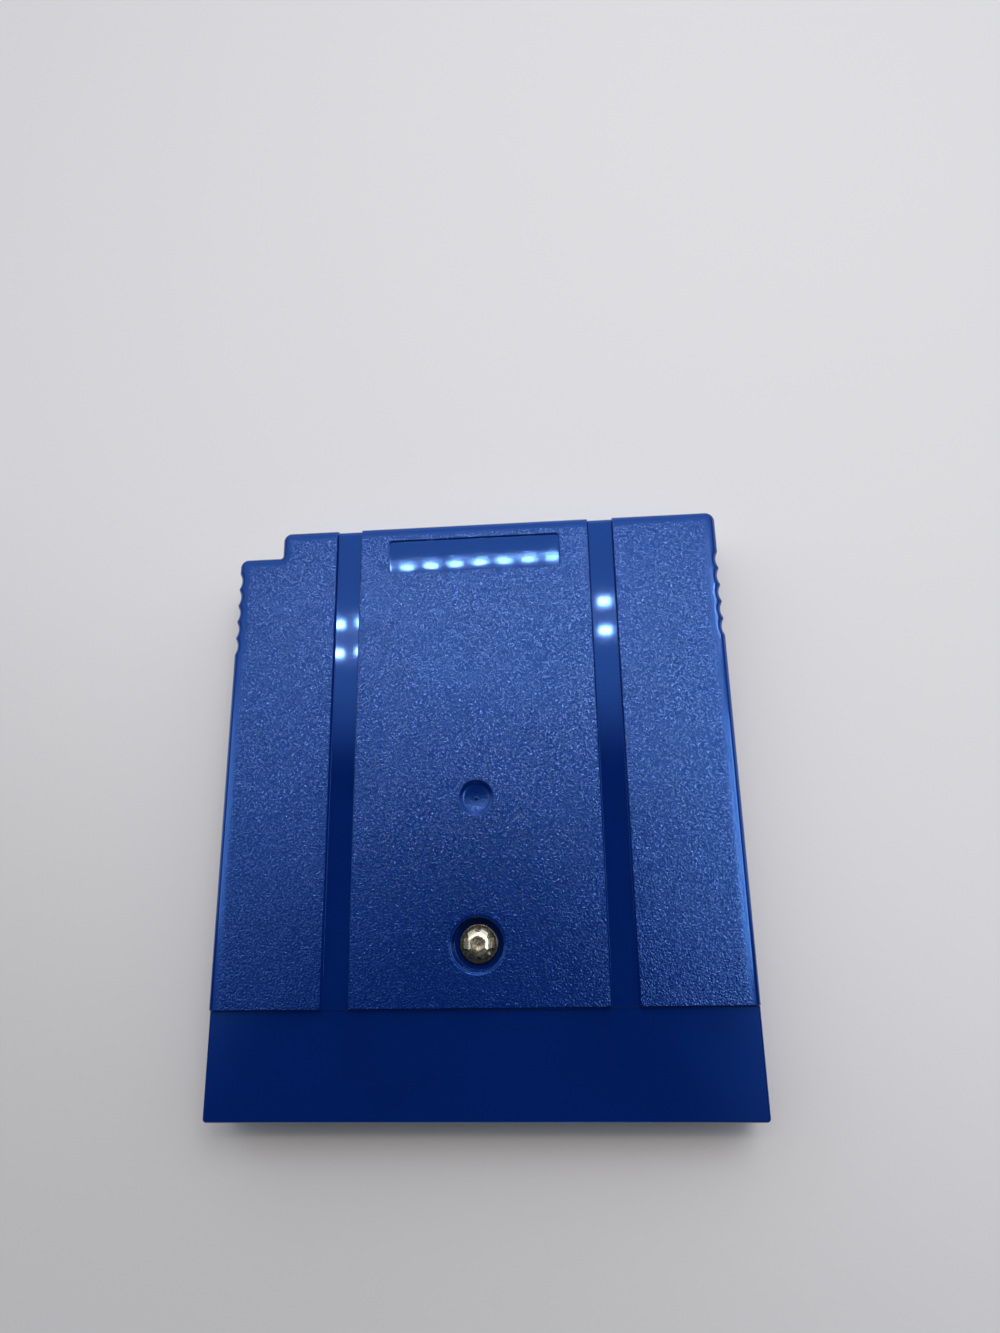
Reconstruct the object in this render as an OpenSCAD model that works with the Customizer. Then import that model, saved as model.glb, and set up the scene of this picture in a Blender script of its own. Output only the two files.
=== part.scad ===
// Game cartridge for a handheld console, lying on its front face with the rear face up.
// Millimetres. X runs across the case, Y from the open end to the grip end, Z up to the rear face.

/* [Case] */
// Height from the open end to the grip end
case_h = 65; // [62:0.5:72]
// Thickness from the front face to the rear face
case_t = 7.8; // [7.5:0.1:9]
// Thickness of the side and end walls
side_wall = 1.6; // [1.4:0.1:1.8]
// Thickness of the front plate
front_wall = 1.2; // [1:0.1:1.4]
// Thickness of the rear plate
rear_wall = 1.1; // [0.9:0.1:1.3]
// Height of the joint between the shells above the front face
joint_z = 3.9; // [3.6:0.1:4.2]
// Radius that rounds the outer edges
edge_round = 0.6; // [0.3:0.1:0.8]
// Radius of the case corners at the grip end
grip_end_r = 1.1; // [0.7:0.1:2]
// Radius of the case corners at the open end
open_end_r = 0.4; // [0.2:0.1:1.5]

/* [Keying notch] */
// Width cut from the corner of the grip end
notch_w = 5.2; // [4:0.1:6.5]
// Height cut from the corner of the grip end
notch_h = 3.2; // [2.4:0.1:4]
// Radius of the two outer corners of the notch
notch_r = 1; // [0.6:0.1:1.2]
// Radius of the inner corner of the notch
notch_inner_r = 0.3; // [0.1:0.1:0.8]

/* [Grip grooves] */
// Grooves down each side
grip_count = 5; // [3:1:6]
// Spacing of the grooves
grip_pitch = 2.05; // [2:0.05:2.3]
// Width of one groove
grip_w = 1.9; // [1.4:0.1:1.9]
// Depth of one groove in the sides
grip_d = 0.28; // [0.15:0.01:0.3]
// Distance from the shoulder of the notch to the middle of the first groove
grip_drop = 2.8; // [2.3:0.1:3.4]
// Length of the grooves across the front face, from each side
grip_front_l = 7.5; // [5:0.5:8.5]
// Depth of one groove in the front face, which is cut with the same radius
grip_front_d = 0.32; // [0.31:0.01:0.4]

/* [Rear face] */
// Width of each of the two sunk channels, at the rear face
channel_w = 3; // [2.4:0.1:4]
// Distance of each channel's middle from the middle of the case
channel_x = 15.05; // [13:0.05:18]
// Depth of the channels
channel_d = 0.45; // [0.2:0.05:0.55]
// How far each channel wall leans in on its way down
channel_lean = 0.25; // [0.1:0.05:0.5]
// Height of the smooth land at the open end
land_h = 10.6; // [9:0.1:12]
// Step from the panels down to the land
land_step = 0.6; // [0.45:0.05:0.7]
// Radius that rounds the outer edges of the land
land_round = 0.3; // [0.1:0.1:0.5]
// Width of the bare recess near the grip end
plate_w = 20.4; // [16:0.1:24]
// Height of the bare recess
plate_h = 4.2; // [3:0.1:5]
// Depth of the bare recess
plate_d = 0.3; // [0.1:0.05:0.5]
// Corner radius of the bare recess
plate_r = 0.5; // [0.2:0.1:1.2]
// Distance from the grip end to the middle of the bare recess
plate_drop = 3.9; // [3.6:0.1:6]
// Diameter of the moulding gate's dimple
dimple_d = 3.9; // [3:0.1:5]
// Depth of the dimple
dimple_deep = 0.35; // [0.2:0.05:0.5]
// Distance from the open end to the middle of the dimple
dimple_rise = 32.2; // [28:0.1:36]
// Diameter of the gate mark in the dimple
gate_d = 0.4; // [0.3:0.1:0.8]
// Height of the gate mark
gate_h = 0.15; // [0.1:0.05:0.2]

/* [Front face] */
// Distance from each side to the bare label recess
label_side = 7.2; // [6:0.2:10]
// Depth of the bare label recess
label_d = 0.25; // [0.1:0.05:0.4]
// Corner radius of the bare label recess
label_r = 2; // [1:0.5:4]
// Distance from the open end to the near edge of the label recess
label_rise = 12.5; // [11:0.5:14]
// Distance from the label recess to the lowest grip groove
label_gap = 0.6; // [0.4:0.1:2]
// Distance from the grip grooves to the bare slot-shaped recess between them
pill_gap = 4; // [2:0.5:6]
// Height of the slot-shaped recess
pill_h = 6; // [4:0.2:6.4]
// Depth of the slot-shaped recess
pill_d = 0.3; // [0.1:0.05:0.5]
// Width of the triangle that shows which way the cartridge goes in
arrow_w = 7; // [4:0.5:10]
// Height of the triangle
arrow_h = 4; // [2:0.5:5]
// Depth of the triangle
arrow_d = 0.3; // [0.1:0.05:0.5]
// Distance from the open end to the tip of the triangle
arrow_rise = 4; // [3:0.5:6]

/* [Joint of the shells] */
// Thickness of the lip that rises inside the rear shell
lip_t = 0.7; // [0.5:0.1:0.8]
// Height of the lip
lip_h = 0.9; // [0.6:0.1:1.2]
// Gap round the lip
lip_gap = 0.1; // [0.05:0.05:0.15]
// Distance of each hook's middle from the middle of the case
hook_x = 12; // [9:0.5:15]
// Width of each hook
hook_w = 6; // [4:0.5:8]
// Thickness of each hook's tongue
hook_t = 0.9; // [0.7:0.1:1.1]
// How far each catch stands out from the end wall
catch_l = 0.8; // [0.6:0.1:1]
// Thickness of each catch and of each hook's foot
catch_t = 0.7; // [0.5:0.1:0.8]
// Gap between a hook and its catch
hook_gap = 0.15; // [0.1:0.05:0.2]

/* [Screw] */
// Distance from the open end to the screw's axis
screw_rise = 16.95; // [16:0.05:18]
// Diameter of the screw well in the rear face
well_d = 5.5; // [5:0.1:6]
// Depth of the well down to the screw's seat
well_deep = 2; // [1.8:0.1:2.2]
// Width of the bevel round the rim of the well
well_bevel = 0.15; // [0.1:0.05:0.3]
// Thickness of the seat
seat_t = 1.2; // [0.9:0.1:1.4]
// Wall round the well, inside the case
well_wall = 0.9; // [0.7:0.1:1.2]
// Diameter of the shank, with its thread
screw_d = 1.9; // [1.6:0.1:2.2]
// Distance from the front plate up to the bottom of the pilot hole
pilot_floor = 0.1; // [0:0.1:0.6]
// Room left below the screw's tip
tip_gap = 0.2; // [0.1:0.1:0.5]
// Gap round the shank in the seat's hole
screw_play = 0.2; // [0.1:0.05:0.3]
// Gap round the shank in the pilot hole, where the fine thread bites
pilot_play = 0.05; // [0.02:0.01:0.08]
// Diameter of the flange under the head
flange_d = 4.1; // [3.8:0.1:4.6]
// Thickness of the flange
flange_t = 0.5; // [0.4:0.1:0.7]
// Diameter across the lobes of the head
head_d = 3.15; // [2.8:0.05:3.4]
// Height of the head above the flange
head_h = 1.1; // [0.8:0.1:1.2]
// Diameter of each of the six notches round the head
head_notch_d = 0.7; // [0.5:0.05:0.8]
// Diameter of the post that takes the screw
post_d = 4.6; // [4.2:0.1:5]
// Gap round the post in the board's hole
post_gap = 0.4; // [0.2:0.1:0.6]
// Width of the collar on the post that carries the board
collar_w = 1.4; // [1:0.1:1.8]

/* [Circuit board] */
// Gap between the board and each side wall, which sets the width of the case
board_gap = 1.5; // [0.5:0.1:2]
// Height of the board
board_h = 50; // [48:0.5:52]
// Thickness of the board
board_t = 1; // [0.8:0.1:1.2]
// Height of the ribs that carry the board
board_lift = 0.9; // [0.7:0.1:1.1]
// Distance of the contact edge behind the open end
board_back = 1.2; // [1:0.1:2]
// Width of the shoulder at each side of the tongue in the opening
shoulder_w = 0.8; // [0.6:0.1:1.5]
// Length of the tongue
tongue_l = 3; // [2.6:0.1:4]
// Gap at each side of the tongue in the opening
tongue_gap = 0.5; // [0.3:0.1:0.6]
// Width of the ribs that clamp the board's sides
rib_w = 1.1; // [0.8:0.1:1.4]
// Distance of those ribs from the board's sides
rib_in = 0.7; // [0.4:0.1:0.9]
// Gap between the board and the ribs above it
rib_gap = 0.1; // [0.05:0.05:0.2]
// Diameter of the two pins that locate the board
pin_d = 1.8; // [1.4:0.1:2.2]
// Gap round each pin
pin_gap = 0.15; // [0.1:0.05:0.25]
// Distance of each pin from the board's side
pin_in = 2.9; // [2.6:0.1:4]
// Distance of the pins from the contact edge
pin_rise = 10.3; // [9.5:0.1:11]

/* [Edge contacts] */
// Contacts along the edge
contact_count = 32; // [30:1:34]
// Spacing of the contacts
contact_pitch = 1.5; // [1.4:0.05:1.6]
// Width of one contact
contact_w = 1.05; // [0.8:0.05:1.1]
// Length of one contact
contact_l = 5; // [4:0.1:6]
// Thickness of the contacts
contact_t = 0.05; // [0.03:0.01:0.1]
// Distance of the outer contacts from the sides of the tongue
contact_side = 0.825; // [0.5:0.025:1.5]
// Distance of the contacts from the bevelled edge
contact_in = 0.5; // [0.4:0.1:0.8]
// Distance from the contacts to the ribs across the case, where the console's socket stops
socket_stop = 0.5; // [0.3:0.1:1]

/* [Chips] */
// Distance of the chips from the sides of the board
chip_side = 2.7; // [2.5:0.1:3]
// Distance of the first chip and the cell from the board's far end
chip_end = 1.4; // [1:0.1:2.6]
// Distance between one part and the next down the board
chip_gap = 1; // [0.8:0.1:2]
// Length of the program memory chip
rom_l = 20.5; // [18:0.1:22]
// Width of the program memory chip
rom_w = 11.2; // [10:0.1:12]
// Thickness of the program memory chip
rom_t = 2.5; // [2:0.1:2.7]
// Leads on each side of the program memory chip
rom_leads_a_side = 16; // [12:1:16]
// Length of the save memory chip
ram_l = 18; // [17:0.1:18.6]
// Width of the save memory chip
ram_w = 8.5; // [7.5:0.1:9]
// Thickness of the save memory chip
ram_t = 2.3; // [1.8:0.1:2.7]
// Leads on each side of the save memory chip
ram_leads_a_side = 14; // [10:1:14]
// Length of the memory controller chip
mapper_l = 15.4; // [14.4:0.1:17]
// Width of the memory controller chip
mapper_w = 7.5; // [6.5:0.1:8]
// Thickness of the memory controller chip
mapper_t = 2.3; // [1.8:0.1:2.7]
// Leads on each side of the memory controller chip
mapper_leads_a_side = 12; // [8:1:12]
// Length of the power monitor chip
monitor_l = 5; // [4.6:0.1:6]
// Width of the power monitor chip
monitor_w = 4.4; // [3.6:0.1:4.6]
// Thickness of the power monitor chip
monitor_t = 1.5; // [1.2:0.1:2]
// Spacing of the leads
lead_pitch = 1.27; // [1:0.01:1.27]
// Width of one lead
lead_w = 0.42; // [0.3:0.02:0.5]
// Thickness of the leads
lead_t = 0.2; // [0.15:0.01:0.25]
// How far the leads reach out from a chip
lead_reach = 1.4; // [1.2:0.05:1.5]
// Length of the foot of one lead
lead_foot = 0.6; // [0.4:0.05:0.7]
// Gap between a chip and the board
chip_lift = 0.1; // [0.05:0.05:0.2]
// How far the chip sides lean in above and below the leads
chip_lean = 0.12; // [0.05:0.01:0.2]

/* [Save battery] */
// Diameter of the coin cell
cell_d = 16; // [14:0.1:16.5]
// Thickness of the coin cell
cell_t = 1.6; // [1.2:0.1:2.2]
// Gap between the cell and the board
cell_lift = 0.5; // [0.4:0.1:0.6]
// Width of the welded tabs
tab_w = 4; // [3:0.1:5]
// Thickness of the welded tabs
tab_t = 0.2; // [0.15:0.01:0.25]
// How far each tab reaches past the cell
tab_reach = 1.5; // [1.2:0.1:1.6]

/* [Small parts] */
// Length of a small chip resistor or capacitor
small_l = 2; // [1.6:0.1:2.2]
// Width of a small chip resistor or capacitor
small_w = 1.25; // [0.8:0.05:1.4]
// Thickness of a small ceramic capacitor
ceramic_t = 0.9; // [0.6:0.1:1.2]
// Thickness of a small resistor
resistor_t = 0.5; // [0.4:0.05:0.6]
// Length of a metal end on a small part
end_cap_l = 0.35; // [0.25:0.05:0.45]
// Spacing of the small parts down a column
small_pitch = 2.2; // [1.8:0.1:2.4]
// Gap between the two columns of small parts
small_gap = 0.8; // [0.5:0.1:1.2]
// Ceramic capacitors in their column
ceramic_count = 3; // [2:1:4]
// Resistors in their column
resistor_count = 4; // [2:1:4]
// Length of the tantalum capacitor
tantalum_l = 3.5; // [3:0.1:4]
// Width of the tantalum capacitor
tantalum_w = 2.8; // [2:0.1:3]
// Thickness of the tantalum capacitor
tantalum_t = 1.9; // [1.4:0.1:2.2]

/* [Hidden] */
$fn = 48;

case_blue = [0.06, 0.17, 0.45];
board_green = [0.1, 0.36, 0.2];
gold = [0.85, 0.68, 0.3];
epoxy = [0.09, 0.09, 0.1];
tin = [0.75, 0.76, 0.78];

// Steps in a quarter turn of an outline corner, and of a rounded edge
corner_steps = 5;
edge_steps = 4;
// Points drawn across one grip groove
groove_steps = 6;
// How far a cut runs past the face that it opens
cut = 1;
// Smallest radius left on a corner that is drawn in by more than its own radius
least_r = 0.04;

// Widths, from the contacts outwards to the case
contact_span = contact_pitch * (contact_count - 1) + contact_w;
tongue_w = contact_span + 2 * contact_side;
board_w = tongue_w + 2 * shoulder_w;
case_w = board_w + 2 * (board_gap + side_wall);

half_w = case_w / 2;
half_h = case_h / 2;
end_y = -half_h;

// Levels
land_z = case_t - land_step;
channel_z = case_t - channel_d;
ceiling_z = case_t - rear_wall;
land_ceiling_z = land_z - rear_wall;
board_z = front_wall + board_lift;
board_top = board_z + board_t;
seat_z = case_t - well_deep;
post_top = seat_z - seat_t;
pilot_z = front_wall + pilot_floor;
screw_l = seat_z - pilot_z - tip_gap;
catch_z = joint_z - catch_t - hook_gap;

// Places along Y
land_y = end_y + land_h;
notch_y = half_h - notch_h;
notch_x = -half_w + notch_w;
grip_y = notch_y - grip_drop;
grip_mid_y = grip_y - grip_pitch * (grip_count - 1) / 2;
label_y = end_y + label_rise;
label_top_y = grip_y - grip_pitch * (grip_count - 1) - grip_w / 2 - label_gap;
screw_y = end_y + screw_rise;
board_end_y = end_y + board_back;
board_far_y = board_end_y + board_h;
inner_y = half_h - side_wall;
slot_w = tongue_w + 2 * tongue_gap;
pin_x = board_w / 2 - pin_in;
pin_y = board_end_y + pin_rise;
rib_x = board_w / 2 - rib_in - rib_w / 2;
stop_y = board_end_y + contact_in + contact_l + socket_stop;

// A grip groove is an arc: its radius and how far its centre lies outside the face it cuts
groove_r = (pow(grip_w / 2, 2) + pow(grip_d, 2)) / (2 * grip_d);
groove_out = groove_r - grip_d;

// Places of the parts on the board
column_x = board_w / 2 - chip_side;
rom_x = rom_l / 2 - column_x;
rom_y = board_far_y - chip_end - lead_reach - rom_w / 2;
ram_x = ram_l / 2 - column_x;
ram_y = rom_y - rom_w / 2 - 2 * lead_reach - chip_gap - ram_w / 2;
monitor_x = monitor_l / 2 - column_x;
monitor_y = ram_y - ram_w / 2 - 2 * lead_reach - chip_gap - monitor_w / 2;
cell_x = column_x - cell_d / 2;
cell_y = board_far_y - chip_end - cell_d / 2;
cell_z = board_top + cell_lift;
mapper_x = column_x - mapper_l / 2;
mapper_y = cell_y - cell_d / 2 - tab_reach - chip_gap / 2 - lead_reach - mapper_w / 2;
tantalum_x = column_x - tantalum_l / 2 - lead_t;
tantalum_y = mapper_y - mapper_w / 2 - lead_reach - chip_gap - tantalum_w / 2;
small_x = (ram_x + ram_l / 2 + mapper_x - mapper_l / 2) / 2;
small_y = screw_y + well_d / 2 + well_wall + chip_gap + small_w / 2;
monitor_leads_a_side = 4;

// Points of an arc about c, from angle a0 to angle a1
function arc(c, r, a0, a1) =
    [for (i = [0:corner_steps]) let (a = a0 + (a1 - a0) * i / corner_steps) c + r * [cos(a), sin(a)]];

// Points of an outer corner at p, whose sides run from p against the signs in s, after drawing in by d
function outer_corner(p, s, r, d, a0) =
    let (left = max(r - d, least_r)) arc(p - (d + left) * s, left, a0, a0 + 90);

// Distance of a grip side from the middle at height y, after the outline is drawn in by d
function side_x(y, d) =
    min([for (i = [0:grip_count - 1])
        let (away = y - grip_y + i * grip_pitch, r = groove_r + d)
        abs(away) < r ? min(half_w - d, half_w + groove_out - sqrt(r * r - away * away)) : half_w - d]);

// Heights at which the grip side is drawn, from the lowest groove up
grip_heights = [for (i = [grip_count - 1:-1:0], k = [0:groove_steps])
    grip_y - i * grip_pitch + grip_w * (k / groove_steps - 0.5)];
function grip_side(d) = [for (y = grip_heights) [side_x(y, d), y]];

// The case outline drawn in by d, counter-clockwise from the open end's right corner
function outline(d) = concat(
    outer_corner([half_w, end_y], [1, -1], open_end_r, d, -90),
    grip_side(d),
    outer_corner([half_w, half_h], [1, 1], grip_end_r, d, 0),
    outer_corner([notch_x, half_h], [-1, 1], notch_r, d, 90),
    arc([notch_x - notch_inner_r, notch_y + notch_inner_r], notch_inner_r + d, 0, -90),
    outer_corner([-half_w, notch_y], [-1, 1], notch_r, d, 90),
    [for (i = [len(grip_heights) - 1:-1:0]) [-side_x(grip_heights[i], d), grip_heights[i]]],
    outer_corner([-half_w, end_y], [-1, -1], open_end_r, d, 180)
);

// Solid through a pile of outlines. Each ring is how far it is drawn in and its height, lowest first.
module outline_loft(rings) {
    n = len(outline(0));
    top = len(rings) - 1;
    points = concat(
        [for (ring = rings, p = outline(ring[0])) [p[0], p[1], ring[1]]],
        [[0, 0, rings[0][1]], [0, 0, rings[top][1]]]
    );
    low = len(points) - 2;
    high = len(points) - 1;
    sides = [for (k = [0:top - 1], i = [0:n - 1], half = [0, 1])
        let (a = k * n + i, b = k * n + (i + 1) % n)
        half == 0 ? [a, a + n, b] : [b, a + n, b + n]];
    ends = [for (i = [0:n - 1], far = [0, 1])
        let (a = far * top * n + i, b = far * top * n + (i + 1) % n)
        far == 0 ? [low, a, b] : [high, b, a]];
    polyhedron(points, concat(sides, ends));
}

// Rings of a rounded edge: how far in and how high, from the side to the face
function edge_rings(r) =
    [for (i = [0:edge_steps]) let (a = 90 * i / edge_steps) [r * (1 - cos(a)), r * sin(a)]];

// Rectangle with round corners, about the middle
module round_rect(w, h, r) {
    polygon(concat(
        arc([w / 2 - r, r - h / 2], r, -90, 0),
        arc([w / 2 - r, h / 2 - r], r, 0, 90),
        arc([r - w / 2, h / 2 - r], r, 90, 180),
        arc([r - w / 2, r - h / 2], r, 180, 270)
    ));
}

// Plan of the inside of the case, drawn in from the outline by d, with the notch kept clear
module room(d) {
    difference() {
        square([case_w - 2 * d, case_h - 2 * d], center = true);
        translate([-half_w - cut, notch_y - d])
            square([notch_w + d + cut, notch_h + cut]);
    }
}

// What comes off a straight edge to round it: the edge runs along X through the origin,
// the solid lies below and behind it
module edge_cutter(l, r) {
    rotate([90, 0, 90])
        linear_extrude(l, center = true)
            polygon(concat(
                [[cut, -r], [cut, cut], [-r, cut]],
                [for (i = [0:edge_steps]) let (a = 90 - 90 * i / edge_steps) [r * cos(a) - r, r * sin(a) - r]]
            ));
}

// Opening for the console's socket, between two heights, through the wall at the open end
module socket_opening(z0, z1) {
    translate([-slot_w / 2, end_y - cut, z0])
        cube([slot_w, side_wall + 2 * cut, z1 - z0]);
}

// The ribs that carry or clamp the board's sides, between two heights
module side_ribs(y0, y1, z0, z1) {
    for (side = [-1, 1])
        translate([side * rib_x - rib_w / 2, y0, z0])
            cube([rib_w, y1 - y0, z1 - z0]);
}

module front_shell() {
    rounding = edge_rings(edge_round);
    color(case_blue)
    difference() {
        union() {
            difference() {
                outline_loft(concat(
                    [for (i = [edge_steps:-1:0]) let (e = rounding[i]) [e[0], edge_round - e[1]]],
                    [[0, joint_z]]
                ));
                translate([0, 0, front_wall])
                    linear_extrude(joint_z)
                        room(side_wall);
                front_recesses();
            }
            front_lip();
            front_inside();
        }
        socket_opening(front_wall, case_t);
        translate([0, screw_y, pilot_z])
            cylinder(h = case_t, d = screw_d + 2 * pilot_play);
    }
}

// The bare recesses and the grip grooves of the front face
module front_recesses() {
    translate([0, (label_y + label_top_y) / 2, -cut])
        linear_extrude(cut + label_d)
            round_rect(case_w - 2 * label_side, label_top_y - label_y, label_r);
    translate([0, grip_mid_y, -cut])
        linear_extrude(cut + pill_d)
            round_rect(case_w - 2 * (grip_front_l + pill_gap), pill_h, pill_h / 2 - least_r);
    translate([0, end_y + arrow_rise, -cut])
        linear_extrude(cut + arrow_d)
            polygon([[0, 0], [arrow_w / 2, arrow_h], [-arrow_w / 2, arrow_h]]);
    for (i = [0:grip_count - 1], side = [0, 1])
        translate([0, grip_y - i * grip_pitch, grip_front_d - groove_r])
            rotate([0, 90, 180 * side])
                translate([0, 0, half_w - grip_front_l])
                    cylinder(h = grip_front_l + cut, r = groove_r);
}

// The lip that rises inside the rear shell
module front_lip() {
    translate([0, 0, joint_z - lip_h])
        linear_extrude(2 * lip_h)
            difference() {
                room(side_wall - lip_t);
                room(side_wall);
            }
}

// What stands on the inside of the front plate
module front_inside() {
    sunk = front_wall / 2;
    side_ribs(board_end_y + tongue_l, board_far_y - rib_w, sunk, board_z);
    // Rib behind the contacts and rib that stops the board's far end
    translate([-rib_x, stop_y, sunk])
        cube([2 * rib_x, rib_w, board_z - sunk]);
    translate([-rib_x, board_far_y + rib_gap, sunk])
        cube([2 * rib_x, rib_w, board_top - sunk]);
    // Post for the screw, with the collar that carries the board
    translate([0, screw_y, sunk])
        cylinder(h = post_top - sunk, d = post_d);
    translate([0, screw_y, sunk])
        cylinder(h = board_z - sunk, d = post_d + 2 * collar_w);
    for (side = [-1, 1]) {
        translate([side * pin_x, pin_y, sunk])
            cylinder(h = board_top - sunk, d = pin_d);
        // Catch for a hook of the rear shell
        translate([side * hook_x - hook_w / 2, inner_y - catch_l, catch_z])
            cube([hook_w, catch_l + side_wall / 2, catch_t]);
    }
}

module rear_shell() {
    color(case_blue)
    difference() {
        union() {
            difference() {
                outline_loft(concat(
                    [[0, joint_z]],
                    [for (e = edge_rings(edge_round)) [e[0], case_t - edge_round + e[1]]]
                ));
                rear_room();
                land_cut();
                channels();
                translate([0, half_h - plate_drop, case_t - plate_d])
                    linear_extrude(cut)
                        round_rect(plate_w, plate_h, plate_r);
                gate_dimple();
                socket_opening(-cut, land_ceiling_z);
            }
            rear_inside();
        }
        translate([0, screw_y, seat_z])
            rotate_extrude()
                polygon([
                    [0, 0], [well_d / 2, 0], [well_d / 2, well_deep - well_bevel],
                    [well_d / 2 + well_bevel + cut, well_deep + cut], [0, well_deep + cut]
                ]);
        translate([0, screw_y, post_top - cut])
            cylinder(h = seat_t + 2 * cut, d = screw_d + 2 * screw_play);
    }
}

// The hollow of the rear shell, with the rebate for the lip
module rear_room() {
    translate([0, 0, joint_z - cut])
        linear_extrude(land_ceiling_z - joint_z + cut)
            room(side_wall);
    translate([0, 0, joint_z])
        linear_extrude(ceiling_z - joint_z)
            intersection() {
                room(side_wall);
                translate([-half_w, land_y + land_step])
                    square([case_w, case_h]);
            }
    translate([0, 0, joint_z - cut])
        linear_extrude(lip_h + lip_gap + cut)
            room(side_wall - lip_t - lip_gap);
}

// The smooth land at the open end, a step below the panels, with its rounded edges
module land_cut() {
    translate([-half_w - cut, end_y - cut, land_z])
        cube([case_w + 2 * cut, land_h + cut, land_step + cut]);
    translate([0, end_y, land_z])
        rotate([0, 0, 180])
            edge_cutter(case_w + cut, land_round);
    for (side = [-1, 1])
        translate([side * half_w, end_y + land_h / 2 - cut / 2, land_z])
            rotate([0, 0, -90 * side])
                edge_cutter(land_h + cut, land_round);
}

// The two sunk channels, which run out over the rounded edge at the grip end
module channels() {
    floor_w = channel_w - 2 * channel_lean;
    rise = cut * channel_lean / channel_d;
    for (side = [-1, 1]) {
        translate([side * channel_x, half_h + cut, channel_z])
            rotate([90, 0, 0])
                linear_extrude(case_h - land_h + 2 * cut)
                    polygon([
                        [-floor_w / 2, 0], [floor_w / 2, 0],
                        [floor_w / 2 + rise, cut], [-floor_w / 2 - rise, cut]
                    ]);
        translate([side * channel_x, half_h, channel_z])
            edge_cutter(floor_w, edge_round);
    }
}

// The dished dimple where the mould was fed, with the gate mark left standing in it
module gate_dimple() {
    dish_r = (pow(dimple_d / 2, 2) + pow(dimple_deep, 2)) / (2 * dimple_deep);
    translate([0, end_y + dimple_rise, case_t])
        difference() {
            translate([0, 0, dish_r - dimple_deep])
                sphere(dish_r);
            translate([0, 0, -dimple_deep - cut])
                cylinder(h = cut + gate_h, d = gate_d);
        }
}

// What hangs from the inside of the rear plate
module rear_inside() {
    sunk = rear_wall / 2;
    side_ribs(pin_y + pin_d, board_far_y - 2 * rib_w, board_top + rib_gap, ceiling_z + sunk);
    // Rib that shuts off the inside of the case behind the contacts
    translate([-rib_x, stop_y, board_top + rib_gap])
        cube([2 * rib_x, rib_w, land_ceiling_z + sunk - board_top - rib_gap]);
    // Boss round the screw well, which stands on the front shell's post
    translate([0, screw_y, post_top])
        cylinder(h = ceiling_z + sunk - post_top, d = well_d + 2 * well_wall);
    // Hooks that reach under the front shell's catches
    foot_z = catch_z - hook_gap - catch_t;
    tongue_y = inner_y - catch_l - hook_gap - hook_t;
    for (side = [-1, 1])
        translate([side * hook_x - hook_w / 2, tongue_y, foot_z]) {
            cube([hook_w, hook_t, ceiling_z + sunk - foot_z]);
            cube([hook_w, hook_t + catch_l, catch_t]);
        }
}

module case_screw() {
    tip = screw_d / 4;
    bevel = head_h / 4;
    color(tin)
    translate([0, screw_y, seat_z]) {
        // Six round notches take the driver's pins, and a small centre mark is left in the top
        difference() {
            translate([0, 0, flange_t])
                rotate_extrude()
                    polygon([
                        [0, 0], [head_d / 2, 0], [head_d / 2, head_h - bevel],
                        [head_d / 2 - bevel, head_h], [bevel, head_h], [0, head_h - bevel]
                    ]);
            for (i = [0:5])
                rotate([0, 0, 60 * i])
                    translate([0, head_d / 2, 0])
                        cylinder(h = flange_t + head_h + cut, d = head_notch_d);
        }
        rotate_extrude()
            polygon([
                [0, -screw_l], [screw_d / 2 - tip, -screw_l], [screw_d / 2, tip - screw_l],
                [screw_d / 2, 0], [flange_d / 2, 0], [flange_d / 2, flange_t], [0, flange_t]
            ]);
    }
}

module circuit_board() {
    bevel = board_t / 4;
    color(board_green)
    translate([0, board_end_y, board_z])
        intersection() {
            linear_extrude(board_t)
                board_plan();
            // Section with the bevels that lead the contact edge into the socket
            rotate([90, 0, 90])
                linear_extrude(board_w + 2 * cut, center = true)
                    polygon([
                        [0, bevel], [bevel, 0], [board_h + cut, 0],
                        [board_h + cut, board_t], [bevel, board_t], [0, board_t - bevel]
                    ]);
        }
}

// Plan of the board, from its contact edge, with the holes for the post and the pins
module board_plan() {
    difference() {
        union() {
            translate([-tongue_w / 2, 0])
                square([tongue_w, 2 * tongue_l]);
            translate([-board_w / 2, tongue_l])
                square([board_w, board_h - tongue_l]);
        }
        translate([0, screw_y - board_end_y])
            circle(d = post_d + 2 * post_gap);
        for (side = [-1, 1])
            translate([side * pin_x, pin_rise])
                circle(d = pin_d + 2 * pin_gap);
    }
}

module edge_contacts() {
    color(gold)
    for (i = [0:contact_count - 1])
        translate([i * contact_pitch - contact_span / 2, board_end_y + contact_in, board_top])
            cube([contact_w, contact_l, contact_t]);
}

// Moulded chip body about the middle, whose sides lean in above and below the leads
module chip_body(l, w, t) {
    mark_d = w / 10;
    color(epoxy)
    translate([0, 0, board_top + chip_lift])
        difference() {
            intersection() {
                chip_section(l, w + 2 * cut, t);
                rotate([0, 0, 90])
                    chip_section(w, l + 2 * cut, t);
            }
            // Mark beside the first lead
            translate([-l / 2 + 2 * mark_d, -w / 2 + 2 * mark_d, t - chip_lean / 2])
                cylinder(h = cut, d = mark_d);
        }
}

// Section of a chip across l, drawn out along Y
module chip_section(l, along, t) {
    rotate([90, 0, 0])
        linear_extrude(along, center = true)
            polygon([
                [-l / 2 + chip_lean, 0], [l / 2 - chip_lean, 0],
                [l / 2, (t - lead_t) / 2], [l / 2, (t + lead_t) / 2],
                [l / 2 - chip_lean, t], [-l / 2 + chip_lean, t],
                [-l / 2, (t + lead_t) / 2], [-l / 2, (t - lead_t) / 2]
            ]);
}

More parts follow.
